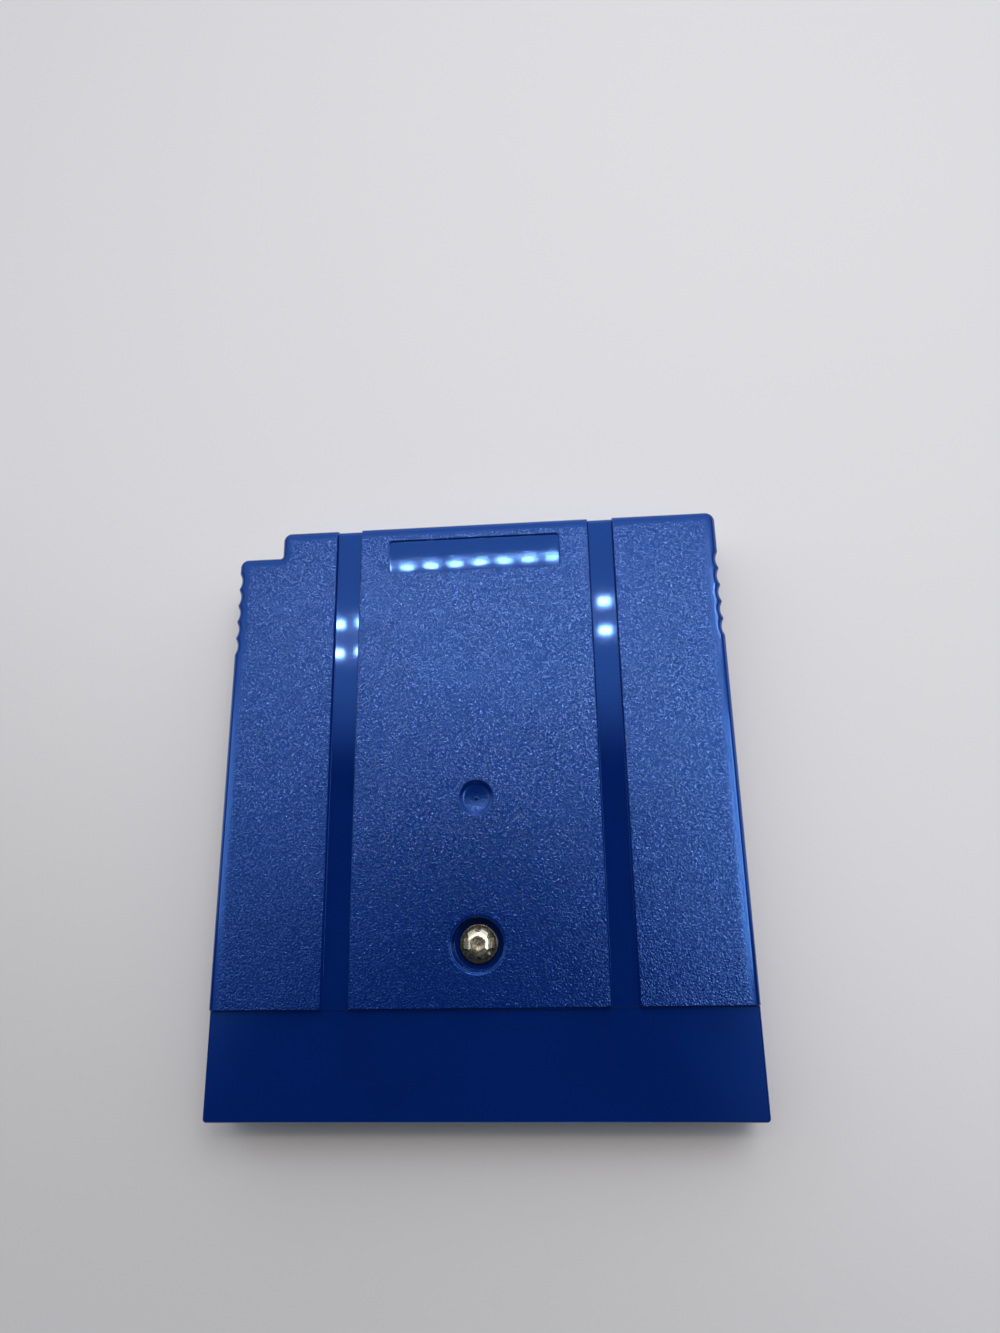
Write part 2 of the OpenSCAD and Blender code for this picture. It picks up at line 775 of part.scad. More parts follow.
// Both rows of bent leads of a chip, from its sides down to the board
module chip_leads(count, w, t) {
    middle = chip_lift + t / 2;
    bend = lead_reach - lead_foot;
    shoulder = bend / 3;
    color(tin)
    translate([0, 0, board_top])
        for (side = [0, 1], i = [0:count - 1])
            rotate([0, 0, 180 * side])
                translate([(i - (count - 1) / 2) * lead_pitch, w / 2, 0])
                    rotate([90, 0, 90])
                        linear_extrude(lead_w, center = true)
                            polygon([
                                [0, middle - lead_t / 2], [shoulder, middle - lead_t / 2],
                                [bend, 0], [lead_reach, 0], [lead_reach, lead_t],
                                [bend + lead_t, lead_t], [shoulder + lead_t, middle + lead_t / 2],
                                [0, middle + lead_t / 2]
                            ]);
}

module rom_chip() {
    translate([rom_x, rom_y, 0])
        chip_body(rom_l, rom_w, rom_t);
}

module rom_leads() {
    translate([rom_x, rom_y, 0])
        chip_leads(rom_leads_a_side, rom_w, rom_t);
}

module ram_chip() {
    translate([ram_x, ram_y, 0])
        chip_body(ram_l, ram_w, ram_t);
}

module ram_leads() {
    translate([ram_x, ram_y, 0])
        chip_leads(ram_leads_a_side, ram_w, ram_t);
}

module mapper_chip() {
    translate([mapper_x, mapper_y, 0])
        chip_body(mapper_l, mapper_w, mapper_t);
}

module mapper_leads() {
    translate([mapper_x, mapper_y, 0])
        chip_leads(mapper_leads_a_side, mapper_w, mapper_t);
}

module monitor_chip() {
    translate([monitor_x, monitor_y, 0])
        chip_body(monitor_l, monitor_w, monitor_t);
}

module monitor_leads() {
    translate([monitor_x, monitor_y, 0])
        chip_leads(monitor_leads_a_side, monitor_w, monitor_t);
}

// The cell is sealed: a cup with its edge rolled in over a smaller lid, which faces the board
module coin_cell() {
    roll = cell_t / 8;
    lid_in = cell_t / 2;
    color("silver")
    translate([cell_x, cell_y, cell_z])
        rotate_extrude()
            polygon([
                [0, 0], [cell_d / 2 - lid_in, 0], [cell_d / 2 - lid_in, roll],
                [cell_d / 2 - roll, roll], [cell_d / 2, 2 * roll], [cell_d / 2, cell_t - roll],
                [cell_d / 2 - roll, cell_t], [0, cell_t]
            ]);
}

// Tab welded flat to the cell at height z above the board, bent down to a foot outside the rim,
// and running out along Y
module cell_tab(z) {
    hold = cell_d / 3;
    stand = tab_reach / 4;
    color(tin)
    translate([0, 0, board_top])
        rotate([90, 0, 90])
            linear_extrude(tab_w, center = true)
                polygon([
                    [cell_d / 2 - hold, z], [cell_d / 2 + stand, z], [cell_d / 2 + stand, 0],
                    [cell_d / 2 + tab_reach, 0], [cell_d / 2 + tab_reach, tab_t],
                    [cell_d / 2 + stand + tab_t, tab_t], [cell_d / 2 + stand + tab_t, z + tab_t],
                    [cell_d / 2 - hold, z + tab_t]
                ]);
}

module positive_tab() {
    translate([cell_x, cell_y, 0])
        rotate([0, 0, 90])
            cell_tab(cell_lift + cell_t);
}

module negative_tab() {
    translate([cell_x, cell_y, 0])
        rotate([0, 0, 180])
            cell_tab(cell_lift - tab_t);
}

// Places of the small parts: a column on each side of the gap, from the screw's boss up
module small_column(side, count) {
    for (i = [0:count - 1])
        translate([small_x + side * (small_l + small_gap) / 2, small_y + i * small_pitch, board_top])
            children();
}

module small_body(t) {
    l = small_l - 2 * end_cap_l;
    translate([-l / 2, -small_w / 2, 0])
        cube([l, small_w, t]);
}

module small_ends(t) {
    for (side = [-1, 1])
        translate([side * (small_l - end_cap_l) / 2 - end_cap_l / 2, -small_w / 2, 0])
            cube([end_cap_l, small_w, t]);
}

module ceramic_capacitors() {
    color("tan")
    small_column(-1, ceramic_count)
        small_body(ceramic_t);
}

module resistors() {
    color(epoxy)
    small_column(1, resistor_count)
        small_body(resistor_t);
}

module small_part_ends() {
    color(tin) {
        small_column(-1, ceramic_count)
            small_ends(ceramic_t);
        small_column(1, resistor_count)
            small_ends(resistor_t);
    }
}

module tantalum_capacitor() {
    color("goldenrod")
    translate([tantalum_x - tantalum_l / 2, tantalum_y - tantalum_w / 2, board_top])
        cube([tantalum_l, tantalum_w, tantalum_t]);
}

module tantalum_ends() {
    color(tin)
    for (side = [-1, 1])
        translate([tantalum_x + side * (tantalum_l + lead_t) / 2, tantalum_y, board_top + tantalum_t / 4])
            cube([lead_t, tantalum_w * 2 / 3, tantalum_t / 2], center = true);
}

front_shell();
rear_shell();
case_screw();
circuit_board();
edge_contacts();
rom_chip();
rom_leads();
ram_chip();
ram_leads();
mapper_chip();
mapper_leads();
monitor_chip();
monitor_leads();
coin_cell();
positive_tab();
negative_tab();
ceramic_capacitors();
resistors();
small_part_ends();
tantalum_capacitor();
tantalum_ends();
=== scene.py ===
import math

import bpy
import numpy as np
from mathutils import Matrix, Vector
from mathutils.geometry import delaunay_2d_cdt


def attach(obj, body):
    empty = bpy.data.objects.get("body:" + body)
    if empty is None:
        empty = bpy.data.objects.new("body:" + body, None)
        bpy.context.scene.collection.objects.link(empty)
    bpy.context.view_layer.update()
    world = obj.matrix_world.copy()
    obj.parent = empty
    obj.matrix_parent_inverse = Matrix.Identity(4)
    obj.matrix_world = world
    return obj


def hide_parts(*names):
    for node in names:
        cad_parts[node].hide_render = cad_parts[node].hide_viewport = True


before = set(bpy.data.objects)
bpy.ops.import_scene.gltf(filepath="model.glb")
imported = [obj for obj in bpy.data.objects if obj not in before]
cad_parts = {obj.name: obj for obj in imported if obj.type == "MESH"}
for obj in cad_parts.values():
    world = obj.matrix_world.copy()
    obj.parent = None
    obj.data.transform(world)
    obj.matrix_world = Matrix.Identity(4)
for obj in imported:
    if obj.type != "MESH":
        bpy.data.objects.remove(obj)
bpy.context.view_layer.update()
MM = 0.001

# Sizes in millimetres, the same as in the part's source
CASE_W = 57.0
CASE_H = 65.0
CASE_T = 7.8
HALF_W = CASE_W / 2
HALF_H = CASE_H / 2
END_Y = -HALF_H
JOINT_Z = 3.9
SIDE_WALL = 1.6
FRONT_WALL = 1.2
REAR_WALL = 1.1
CEILING_Z = CASE_T - REAR_WALL
EDGE_ROUND = 0.6
GRIP_END_R = 1.1
OPEN_END_R = 0.4
NOTCH_W = 5.2
NOTCH_H = 3.2
NOTCH_R = 1.0
NOTCH_INNER_R = 0.3
NOTCH_X = -HALF_W + NOTCH_W
NOTCH_Y = HALF_H - NOTCH_H
GRIP_COUNT = 5
GRIP_PITCH = 2.05
GRIP_W = 1.9
GRIP_D = 0.28
GRIP_DROP = 2.8
GRIP_Y = NOTCH_Y - GRIP_DROP
GRIP_LAST_Y = GRIP_Y - GRIP_PITCH * (GRIP_COUNT - 1)
GRIP_MID_Y = GRIP_Y - GRIP_PITCH * (GRIP_COUNT - 1) / 2
GRIP_FRONT_L = 7.5
GRIP_FRONT_D = 0.32
GROOVE_R = ((GRIP_W / 2) ** 2 + GRIP_D ** 2) / (2 * GRIP_D)
GROOVE_OUT = GROOVE_R - GRIP_D
CHANNEL_W = 3.0
CHANNEL_X = 15.05
CHANNEL_D = 0.45
LAND_H = 10.6
LAND_STEP = 0.6
LAND_ROUND = 0.3
LAND_Y = END_Y + LAND_H
LAND_Z = CASE_T - LAND_STEP
LAND_CEILING_Z = LAND_Z - REAR_WALL
PLATE_W = 20.4
PLATE_H = 4.2
PLATE_R = 0.5
PLATE_DROP = 3.9
PLATE_Y = HALF_H - PLATE_DROP
DIMPLE_D = 3.9
DIMPLE_DEEP = 0.35
DIMPLE_RISE = 32.2
DIMPLE_Y = END_Y + DIMPLE_RISE
GATE_D = 0.4
GATE_H = 0.15
LABEL_SIDE = 7.2
LABEL_W = CASE_W - 2 * LABEL_SIDE
LABEL_D = 0.25
LABEL_R = 2.0
LABEL_RISE = 12.5
LABEL_GAP = 0.6
LABEL_Y = END_Y + LABEL_RISE
LABEL_TOP_Y = GRIP_LAST_Y - GRIP_W / 2 - LABEL_GAP
LABEL_H = LABEL_TOP_Y - LABEL_Y
LABEL_MID_Y = (LABEL_Y + LABEL_TOP_Y) / 2
PILL_GAP = 4.0
PILL_W = CASE_W - 2 * (GRIP_FRONT_L + PILL_GAP)
PILL_H = 6.0
PILL_D = 0.3
ARROW_W = 7.0
ARROW_H = 4.0
ARROW_D = 0.3
ARROW_RISE = 4.0
ARROW_Y = END_Y + ARROW_RISE
ARROW_SIDE = math.hypot(ARROW_W / 2, ARROW_H)
LIP_T = 0.7
LIP_GAP = 0.1
LIP_END = SIDE_WALL - LIP_T
REBATE = LIP_T + LIP_GAP
SCREW_RISE = 16.95
SCREW_Y = END_Y + SCREW_RISE
WELL_D = 5.5
WELL_DEEP = 2.0
WELL_BEVEL = 0.15
SEAT_Z = CASE_T - WELL_DEEP
SCREW_D = 1.9
SCREW_PLAY = 0.2
SCREW_L = 4.3
HOLE_D = SCREW_D + 2 * SCREW_PLAY
FLANGE_D = 4.1
FLANGE_T = 0.5
FLANGE_TOP = SEAT_Z + FLANGE_T
HEAD_D = 3.15
HEAD_H = 1.1
HEAD_NOTCH_D = 0.7
SLOT_W = 50.2

# Finer forms in millimetres, which the source lacks or has a little otherwise
CHANNEL_LEAN = 0.13
CHANNEL_SOFT = 0.16
LAND_LEAN = 0.15
LAND_FOOT_SOFT = 0.12
LAND_BROW_SOFT = 0.2
PLATE_D = 0.12
PLATE_LEAN = 0.1
PLATE_SOFT = 0.08
PLATE_SLOPE = 0.0357
PLATE_BEND = 0.004
BOWL_SHARE = 0.4
DIMPLE_RIM_W = 0.5
DIMPLE_OUT = 0.02
GATE_SUNK = 0.02
WELL_RIM_W = 0.34
WELL_RIM_D = 0.03
WELL_FOOT = 0.12
LABEL_LEAN = 0.1
LABEL_SOFT = 0.06
PILL_LEAN = 0.12
PILL_SOFT = 0.08
GRIP_FRONT_SOFT = 0.05
NUB_SOFT = 0.1
SEAM_ROUND = 0.12
SLOT_ROUND = 0.02
TABLE_W = 2.25
TABLE_SLOPE = 0.75
TABLE_SOFT = 0.45
TABLE_CORNER_SOFT = 0.08
LOBE_SOFT = 0.12
CROWN_DISH = 0.06
HEAD_SOFT = 0.1
HEAD_FOOT = 0.06
FLANGE_SOFT = 0.12
THREAD_PITCH = 0.6
THREAD_D = 0.16
THREAD_STEP = 0.05
TIP_L = 0.35

# Grain and gloss: over which heights and distances from the case's edge they fade in
GRAIN_DEPTH = 0.025
GRAIN_FULL_DEPTH = 0.004
GRAIN_FADE = (0.5, 1.6)
MATT_FADE = (0.4, 0.9)
PLATE_GRAIN = 0.05
PLATE_INSET = 0.18
DIMPLE_GRAIN = 0.5

# How finely the pieces are drawn: lines and rings, in millimetres from the edge that they follow
CORNER_STEPS = 12
RING_STEPS = 72
GRIP_STEP = 0.09
GRIP_MARGIN = 0.2
LEAST_R = 0.04
PLAIN_STEP = 4
QUARTER = np.radians([0, 22.5, 45, 67.5, 90])
RING_IN = [0.0115, 0.0457, 0.101, 0.176, 0.267, 0.3, 0.37, 0.483, 0.6]
GRAIN_IN = [0.85, 1.15, 1.5]
CHANNEL_LINES = [-0.21, -0.18, -0.16, -0.14, -0.12, -0.1, -0.08, -0.06, -0.04, -0.02, 0, 0.02, 0.04, 0.06]
CHANNEL_LINES += [0.1, 0.2]
LAND_LINES = [-0.12, -0.06, -0.03, -0.01, 0.01, 0.03, 0.06, 0.1, 0.11, 0.12, 0.135, 0.15, 0.165, 0.18, 0.2]
LAND_LINES += [0.25, 0.35]
PLATE_LINES = [-0.17, -0.14, -0.12, -0.1, -0.08, -0.06, -0.04, -0.02, 0, 0.02, 0.04, 0.07]
DIMPLE_RINGS = [0.06, 0.11, 0.14, 0.17, 0.2, 0.23, 0.26, 0.4, 0.6, 0.85, 1.1, 1.35, 1.55, 1.7, 1.8, 1.86]
DIMPLE_RINGS += [1.91, 1.95, 1.99, 2.05, 2.13, 2.25]
WELL_RINGS = [0, 0.003, 0.012, 0.028, 0.05, 0.08, 0.115, 0.15, 0.18, 0.21, 0.25, 0.29, 0.34, 0.4]
WELL_STEPS = 96
FRONT_LINES = [-0.14, -0.11, -0.09, -0.07, -0.05, -0.03, -0.01, 0.01, 0.03]
ARROW_LINES = [0.04, 0, -0.03, -0.06, -0.09, -0.12, -0.16, -0.25]
RAMP_LINES = [-0.1, -0.06, -0.02, 0.02, 0.06, 0.1, 0.15]
GRIP_LINES = [1, 2, 3.5, 5]
SCREW_STEPS = 180

# Distances in millimetres that tests use. The finish fades within FADE_BAND of the case outline, and the
# CAD mesh has its outside within SKIN of the outline or of the front face.
NEAR = 0.01
FAR = 9.0
GRAD_STEP = 0.004
ON_OUTLINE = 0.05
SKIN = 0.7
FADE_BAND = 1.8


def smooth_max(a, b, k):
    """The larger of two heights, rounded where they differ by less than k."""
    h = np.maximum(k - np.abs(a - b), 0) / k
    return np.maximum(a, b) + h * h * k / 4


def smooth_min(a, b, k):
    return -smooth_max(-a, -b, k)


def ease(lo, hi, v):
    """Rises softly from 0 at lo to 1 at hi."""
    t = np.clip((v - lo) / (hi - lo), 0, 1)
    return t * t * (3 - 2 * t)


# The case outline, as in the part's source, with softer points between the grip grooves

def arc(cx, cy, r, a0, a1, steps=CORNER_STEPS):
    t = np.radians(np.linspace(a0, a1, steps + 1))
    return np.column_stack((cx + r * np.cos(t), cy + r * np.sin(t)))


def outer_corner(px, py, sx, sy, r, d, a0):
    """A rounded corner at (px, py) that points to the side (sx, sy), a distance d inside the outline."""
    left = max(r - d, LEAST_R)
    return arc(px - (d + left) * sx, py - (d + left) * sy, left, a0, a0 + 90)


def grip_side(y, d):
    """The right side with its grip grooves, a distance d inside the outline."""
    x = np.full_like(y, HALF_W - d)
    r = GROOVE_R + d
    for i in range(GRIP_COUNT):
        away = y - GRIP_Y + i * GRIP_PITCH
        inside = np.abs(away) < r * 0.999
        cut = HALF_W + GROOVE_OUT - np.sqrt(np.maximum(r * r - away * away, 0))
        x = smooth_min(x, np.where(inside, cut, HALF_W + 1), NUB_SOFT)
    return x


def outline(d):
    """The closed line a distance d inside the case outline, counter-clockwise."""
    low = GRIP_LAST_Y - GRIP_W / 2 - GRIP_MARGIN
    high = GRIP_Y + GRIP_W / 2 + GRIP_MARGIN
    y = np.linspace(low, high, int((high - low) / GRIP_STEP))
    x = grip_side(y, d)
    return np.concatenate([
        outer_corner(HALF_W, END_Y, 1, -1, OPEN_END_R, d, -90),
        np.column_stack((x, y)),
        outer_corner(HALF_W, HALF_H, 1, 1, GRIP_END_R, d, 0),
        outer_corner(NOTCH_X, HALF_H, -1, 1, NOTCH_R, d, 90),
        arc(NOTCH_X - NOTCH_INNER_R, NOTCH_Y + NOTCH_INNER_R, NOTCH_INNER_R + d, 0, -90),
        outer_corner(-HALF_W, NOTCH_Y, -1, 1, NOTCH_R, d, 90),
        np.column_stack((-x[::-1], y[::-1])),
        outer_corner(-HALF_W, END_Y, -1, -1, OPEN_END_R, d, 180),
    ])


def outline_normals(points):
    """Inward unit normals at the points of a closed counter-clockwise line, weighed by edge length."""
    edge = np.roll(points, -1, axis=0) - points
    inward = np.column_stack((-edge[:, 1], edge[:, 0]))
    both = inward + np.roll(inward, 1, axis=0)
    return both / np.linalg.norm(both, axis=1)[:, None]


OUTLINE = outline(0)
OUTLINE_IN = outline_normals(OUTLINE)


def near_outline(xy, band):
    near = (np.abs(xy[:, 0]) > HALF_W - band) | (np.abs(xy[:, 1]) > HALF_H - band)
    return near | ((xy[:, 0] < NOTCH_X + band) & (xy[:, 1] > NOTCH_Y - band))


def from_outline(points):
    """How far points lie from the case outline, and which way is in."""
    a = OUTLINE
    along = np.roll(a, -1, axis=0) - a
    length2 = (along ** 2).sum(1)
    next_in = np.roll(OUTLINE_IN, -1, axis=0)
    far = np.full(len(points), FAR)
    inward = np.zeros((len(points), 2))
    block = 2000
    for start in range(0, len(points), block):
        p = points[start:start + block]
        t = ((p[:, None, :] - a[None]) * along[None]).sum(2) / length2[None]
        t = np.clip(t, 0, 1)
        nearest = a[None] + t[..., None] * along[None]
        gap = np.linalg.norm(p[:, None, :] - nearest, axis=2)
        k = gap.argmin(1)
        row = np.arange(len(p))
        share = t[row, k][:, None]
        way = OUTLINE_IN[k] * (1 - share) + next_in[k] * share
        far[start:start + block] = gap[row, k]
        inward[start:start + block] = way / np.linalg.norm(way, axis=1)[:, None]
    return far, inward


def inside_line(points, line):
    """Which points lie inside a closed line."""
    ax, ay = line.T
    bx, by = np.roll(line, -1, axis=0).T
    result = np.zeros(len(points), bool)
    block = 4000
    for start in range(0, len(points), block):
        px = points[start:start + block, 0:1]
        py = points[start:start + block, 1:2]
        crosses = (ay > py) != (by > py)
        with np.errstate(divide="ignore", invalid="ignore"):
            at = (bx - ax) * (py - ay) / (by - ay) + ax
        result[start:start + block] = (crosses & (px < at)).sum(1) % 2 == 1
    return result


# Heights of the two faces, before their outer edges are rounded

def round_rect_gap(x, y, w, h, r):
    """Distance outside a rectangle with round corners, less than 0 inside it."""
    qx = np.abs(x) - (w / 2 - r)
    qy = np.abs(y) - (h / 2 - r)
    return np.hypot(np.maximum(qx, 0), np.maximum(qy, 0)) + np.minimum(np.maximum(qx, qy), 0) - r


def sunk(gap, deep, lean, soft):
    """Depth of a recess whose wall leans in from its rim, where gap is 0."""
    return smooth_min(smooth_max(0 * gap, -gap * deep / lean, soft), deep + 0 * gap, soft)


def plate_gap(x, y):
    return round_rect_gap(x, y - PLATE_Y, PLATE_W, PLATE_H, PLATE_R)


def plate_depth(y):
    """Depth of the bare recess, whose floor slopes and bends a little."""
    climb = np.clip(y - PLATE_Y + PLATE_H / 2, 0, PLATE_H)
    return PLATE_D + PLATE_SLOPE * (PLATE_H - climb) - PLATE_BEND / 2 * (PLATE_H ** 2 - climb ** 2)


def dimple_depth(rho):
    """Depth of the gate dimple at radius rho: a bowl inside a steeper rim."""
    bowl = 1 - np.minimum(rho / (DIMPLE_D / 2), 1) ** 2
    rim = 1 - ease(DIMPLE_D / 2 - DIMPLE_RIM_W, DIMPLE_D / 2 + DIMPLE_OUT, rho)
    return DIMPLE_DEEP * (BOWL_SHARE * bowl + (1 - BOWL_SHARE) * rim)


def gate_height(rho):
    """Height of the gate mark above the dimple's floor at radius rho."""
    return (GATE_H - GATE_SUNK) * (1 - ease(GATE_D * 0.3, GATE_D * 0.62, rho))


def rear_surface(x, y):
    """Height of the rear face above the table."""
    channel = np.abs(np.abs(x) - CHANNEL_X) - CHANNEL_W / 2
    z = CASE_T - sunk(channel, CHANNEL_D, CHANNEL_LEAN, CHANNEL_SOFT)
    rise = LAND_Z + (y - LAND_Y) * LAND_STEP / LAND_LEAN
    step = smooth_max(LAND_Z + 0 * y, rise, LAND_FOOT_SOFT)
    z = smooth_min(z, step, LAND_BROW_SOFT)
    z = z - sunk(plate_gap(x, y), plate_depth(y), PLATE_LEAN, PLATE_SOFT)
    rho = np.hypot(x, y - DIMPLE_Y)
    z = z - dimple_depth(rho) + gate_height(rho)
    from_screw = np.hypot(x, y - SCREW_Y)
    return z - WELL_RIM_D * (1 - ease(WELL_D / 2 + WELL_BEVEL, WELL_D / 2 + WELL_RIM_W, from_screw))


def rear_finish(x, y, d, z):
    """Grain on the panels, which fades near the case's edges, a smooth recess and a matt dimple."""
    level = ease(CASE_T - GRAIN_DEPTH, CASE_T - GRAIN_FULL_DEPTH, z)
    grain = level * ease(*GRAIN_FADE, d)
    matt = level * ease(*MATT_FADE, d)
    plate = plate_gap(x, y) < -PLATE_INSET
    dimple = np.hypot(x, y - DIMPLE_Y) < DIMPLE_D / 2 + DIMPLE_OUT
    grain = np.where(plate, PLATE_GRAIN, grain)
    grain = np.where(dimple, DIMPLE_GRAIN, grain)
    matt = np.where(plate, 0.0, matt)
    return np.column_stack((grain, np.where(dimple, 1.0, matt)))


def rear_edge_r(y):
    """Radius of the rear face's outer edge, which is less along the land."""
    return LAND_ROUND + (EDGE_ROUND - LAND_ROUND) * ease(LAND_Y, LAND_Y + LAND_LEAN, y)


def front_surface(x, y):
    """Height of the front face, seen from its own side: 0, and less in its recesses and grip grooves."""
    gap = round_rect_gap(x, y - LABEL_MID_Y, LABEL_W, LABEL_H, LABEL_R)
    z = sunk(gap, LABEL_D, LABEL_LEAN, LABEL_SOFT)
    gap = round_rect_gap(x, y - GRIP_MID_Y, PILL_W, PILL_H, PILL_H / 2 - LEAST_R)
    z = z + sunk(gap, PILL_D, PILL_LEAN, PILL_SOFT)
    sides = (np.abs(x) * ARROW_H - (y - ARROW_Y) * ARROW_W / 2) / ARROW_SIDE
    gap = np.maximum(sides, y - ARROW_Y - ARROW_H)
    z = z + sunk(gap, ARROW_D, PILL_LEAN, PILL_SOFT)
    deep = 0 * x
    for i in range(GRIP_COUNT):
        away = y - GRIP_Y + i * GRIP_PITCH
        groove = GRIP_FRONT_D - GROOVE_R + np.sqrt(np.maximum(GROOVE_R ** 2 - away ** 2, 0))
        deep = smooth_max(deep, groove, GRIP_FRONT_SOFT)
    inner = HALF_W - GRIP_FRONT_L
    return -(z + deep * ease(inner + RAMP_LINES[0], inner + RAMP_LINES[-1], np.abs(x)))


def front_finish(x, y, d, z):
    level = ease(-0.02, -GRAIN_FULL_DEPTH, z)
    return np.column_stack((level * ease(*GRAIN_FADE, d), level * ease(*MATT_FADE, d)))


def front_edge_r(y):
    return EDGE_ROUND + 0 * y


def rounded_drop(d, r):
    """How far a rounded edge lies below its face at distance d from the side, and its slope."""
    d = np.clip(d, 0, r)
    up = np.sqrt(np.maximum(r * r - (r - d) ** 2, 1e-12))
    return r - up, (r - d) / up


class Drawing:
    """Lines in the plane, which become the edges of triangles."""

    def __init__(self):
        self.points = []
        self.edges = []

    def line(self, points, closed=False):
        first = len(self.points)
        self.points.extend(points)
        n = len(points)
        self.edges.extend((first + i, first + i + 1) for i in range(n - 1))
        if closed:
            self.edges.append((first + n - 1, first))

    def across(self, xs, y0, y1):
        for x in xs:
            self.line([(x, y0), (x, y1)])

    def along(self, ys, x0, x1):
        for y in ys:
            self.line([(x0, y), (x1, y)])

    def circle(self, cx, cy, r, steps=RING_STEPS):
        self.line(arc(cx, cy, r, 0, 360, steps)[:-1], closed=True)

    def round_rects(self, cx, cy, w, h, r, gaps):
        for g in gaps:
            rr = max(r + g, LEAST_R)
            a = w / 2 + g - rr
            b = h / 2 + g - rr
            self.line(np.concatenate([
                arc(cx + a, cy - b, rr, -90, 0),
                arc(cx + a, cy + b, rr, 0, 90),
                arc(cx - a, cy + b, rr, 90, 180),
                arc(cx - a, cy - b, rr, 180, 270),
            ]), closed=True)

    def slot_ends(self):
        self.across([-SLOT_W / 2, SLOT_W / 2], END_Y - 1, END_Y + 1)

    def plain_grid(self):
        """A wide grid over the case."""
        self.across(np.arange(-26, 27, PLAIN_STEP), END_Y + 1, HALF_H - 4)
        self.along(np.arange(-30, 28, PLAIN_STEP), -HALF_W + 1, HALF_W - 1)

    def triangles(self, keep):
        """Points and triangles of the plan, where keep says so of the triangles' middles."""
        points = [Vector((float(p[0]), float(p[1]))) for p in self.points]
        found = delaunay_2d_cdt(points, self.edges, [], 0, 1e-5)
        xy = np.array([tuple(p) for p in found[0]], float)
        tris = np.array([f for f in found[2] if len(f) == 3], int)
        tris = tris[keep(xy[tris].mean(axis=1))]
        used = np.unique(tris)
        index = np.zeros(len(xy), int)
        index[used] = np.arange(len(used))
        return xy[used], index[tris]


def border_loops(tris):
    """Closed loops of the edges that only one triangle has, in the triangles' own direction."""
    edges = np.concatenate([tris[:, [0, 1]], tris[:, [1, 2]], tris[:, [2, 0]]])
    known = {(a, b): True for a, b in edges.tolist()}
    following = {a: b for a, b in known if (b, a) not in known}
    loops = []
    while following:
        start = next(iter(following))
        loop = [start]
        at = following.pop(start)
        while at != start:
            loop.append(at)
            at = following.pop(at)
        loops.append(np.array(loop))
    return sorted(loops, key=len, reverse=True)


def new_piece(name, mesh):
    piece = bpy.data.objects.new(name, mesh)
    bpy.context.scene.collection.objects.link(piece)
    return piece


class Shape:
    """Points, normals and faces of one piece."""

    def __init__(self):
        self.points = []
        self.normals = []
        self.finish = []
        self.faces = []
        self.count = 0

    def add(self, points, normals, faces, finish=None):
        """Adds faces. finish holds how grained and how matt the surface is at each point."""
        self.points.append(np.asarray(points, float))
        self.normals.append(np.asarray(normals, float))
        self.finish.append(np.zeros((len(points), 2)) if finish is None else finish)
        self.faces.extend([tuple(int(i) + self.count for i in f) for f in faces])
        self.count += len(points)

    def strip(self, rings, ring_normals, closed=True, flip=False):
        """Adds faces between rings of points that lie one after another."""
        n = len(rings[0])
        faces = []
        for k in range(len(rings) - 1):
            for i in range(n if closed else n - 1):
                a = k * n + i
                b = k * n + (i + 1) % n
                face = (a, b, b + n, a + n)
                faces.append(face[::-1] if flip else face)
        self.add(np.concatenate(rings), np.concatenate(ring_normals), faces)

    def add_triangles(self, tris):
        """Adds flat triangles, each with its own three points."""
        flat = np.cross(tris[:, 1] - tris[:, 0], tris[:, 2] - tris[:, 0])
        solid = np.linalg.norm(flat, axis=1) > 1e-9
        tris = tris[solid]
        faces = np.arange(len(tris) * 3).reshape(-1, 3)
        self.add(tris.reshape(-1, 3), np.repeat(flat[solid], 3, axis=0), faces)

    def make(self, name):
        points = np.concatenate(self.points) * MM
        normals = np.concatenate(self.normals)
        normals = normals / np.maximum(np.linalg.norm(normals, axis=1), 1e-9)[:, None]
        mesh = bpy.data.meshes.new(name)
        mesh.from_pydata(points.tolist(), [], self.faces)
        mesh.polygons.foreach_set("use_smooth", [True] * len(mesh.polygons))
        mesh.normals_split_custom_set_from_vertices(normals.tolist())
        finish = np.concatenate(self.finish)
        for k, label in enumerate(("grain", "matt")):
            mesh.attributes.new(label, "FLOAT", "POINT").data.foreach_set("value", finish[:, k])
        mesh.update()
        return new_piece(name, mesh)


# The outsides of the shells, and their insides copied from the CAD nodes

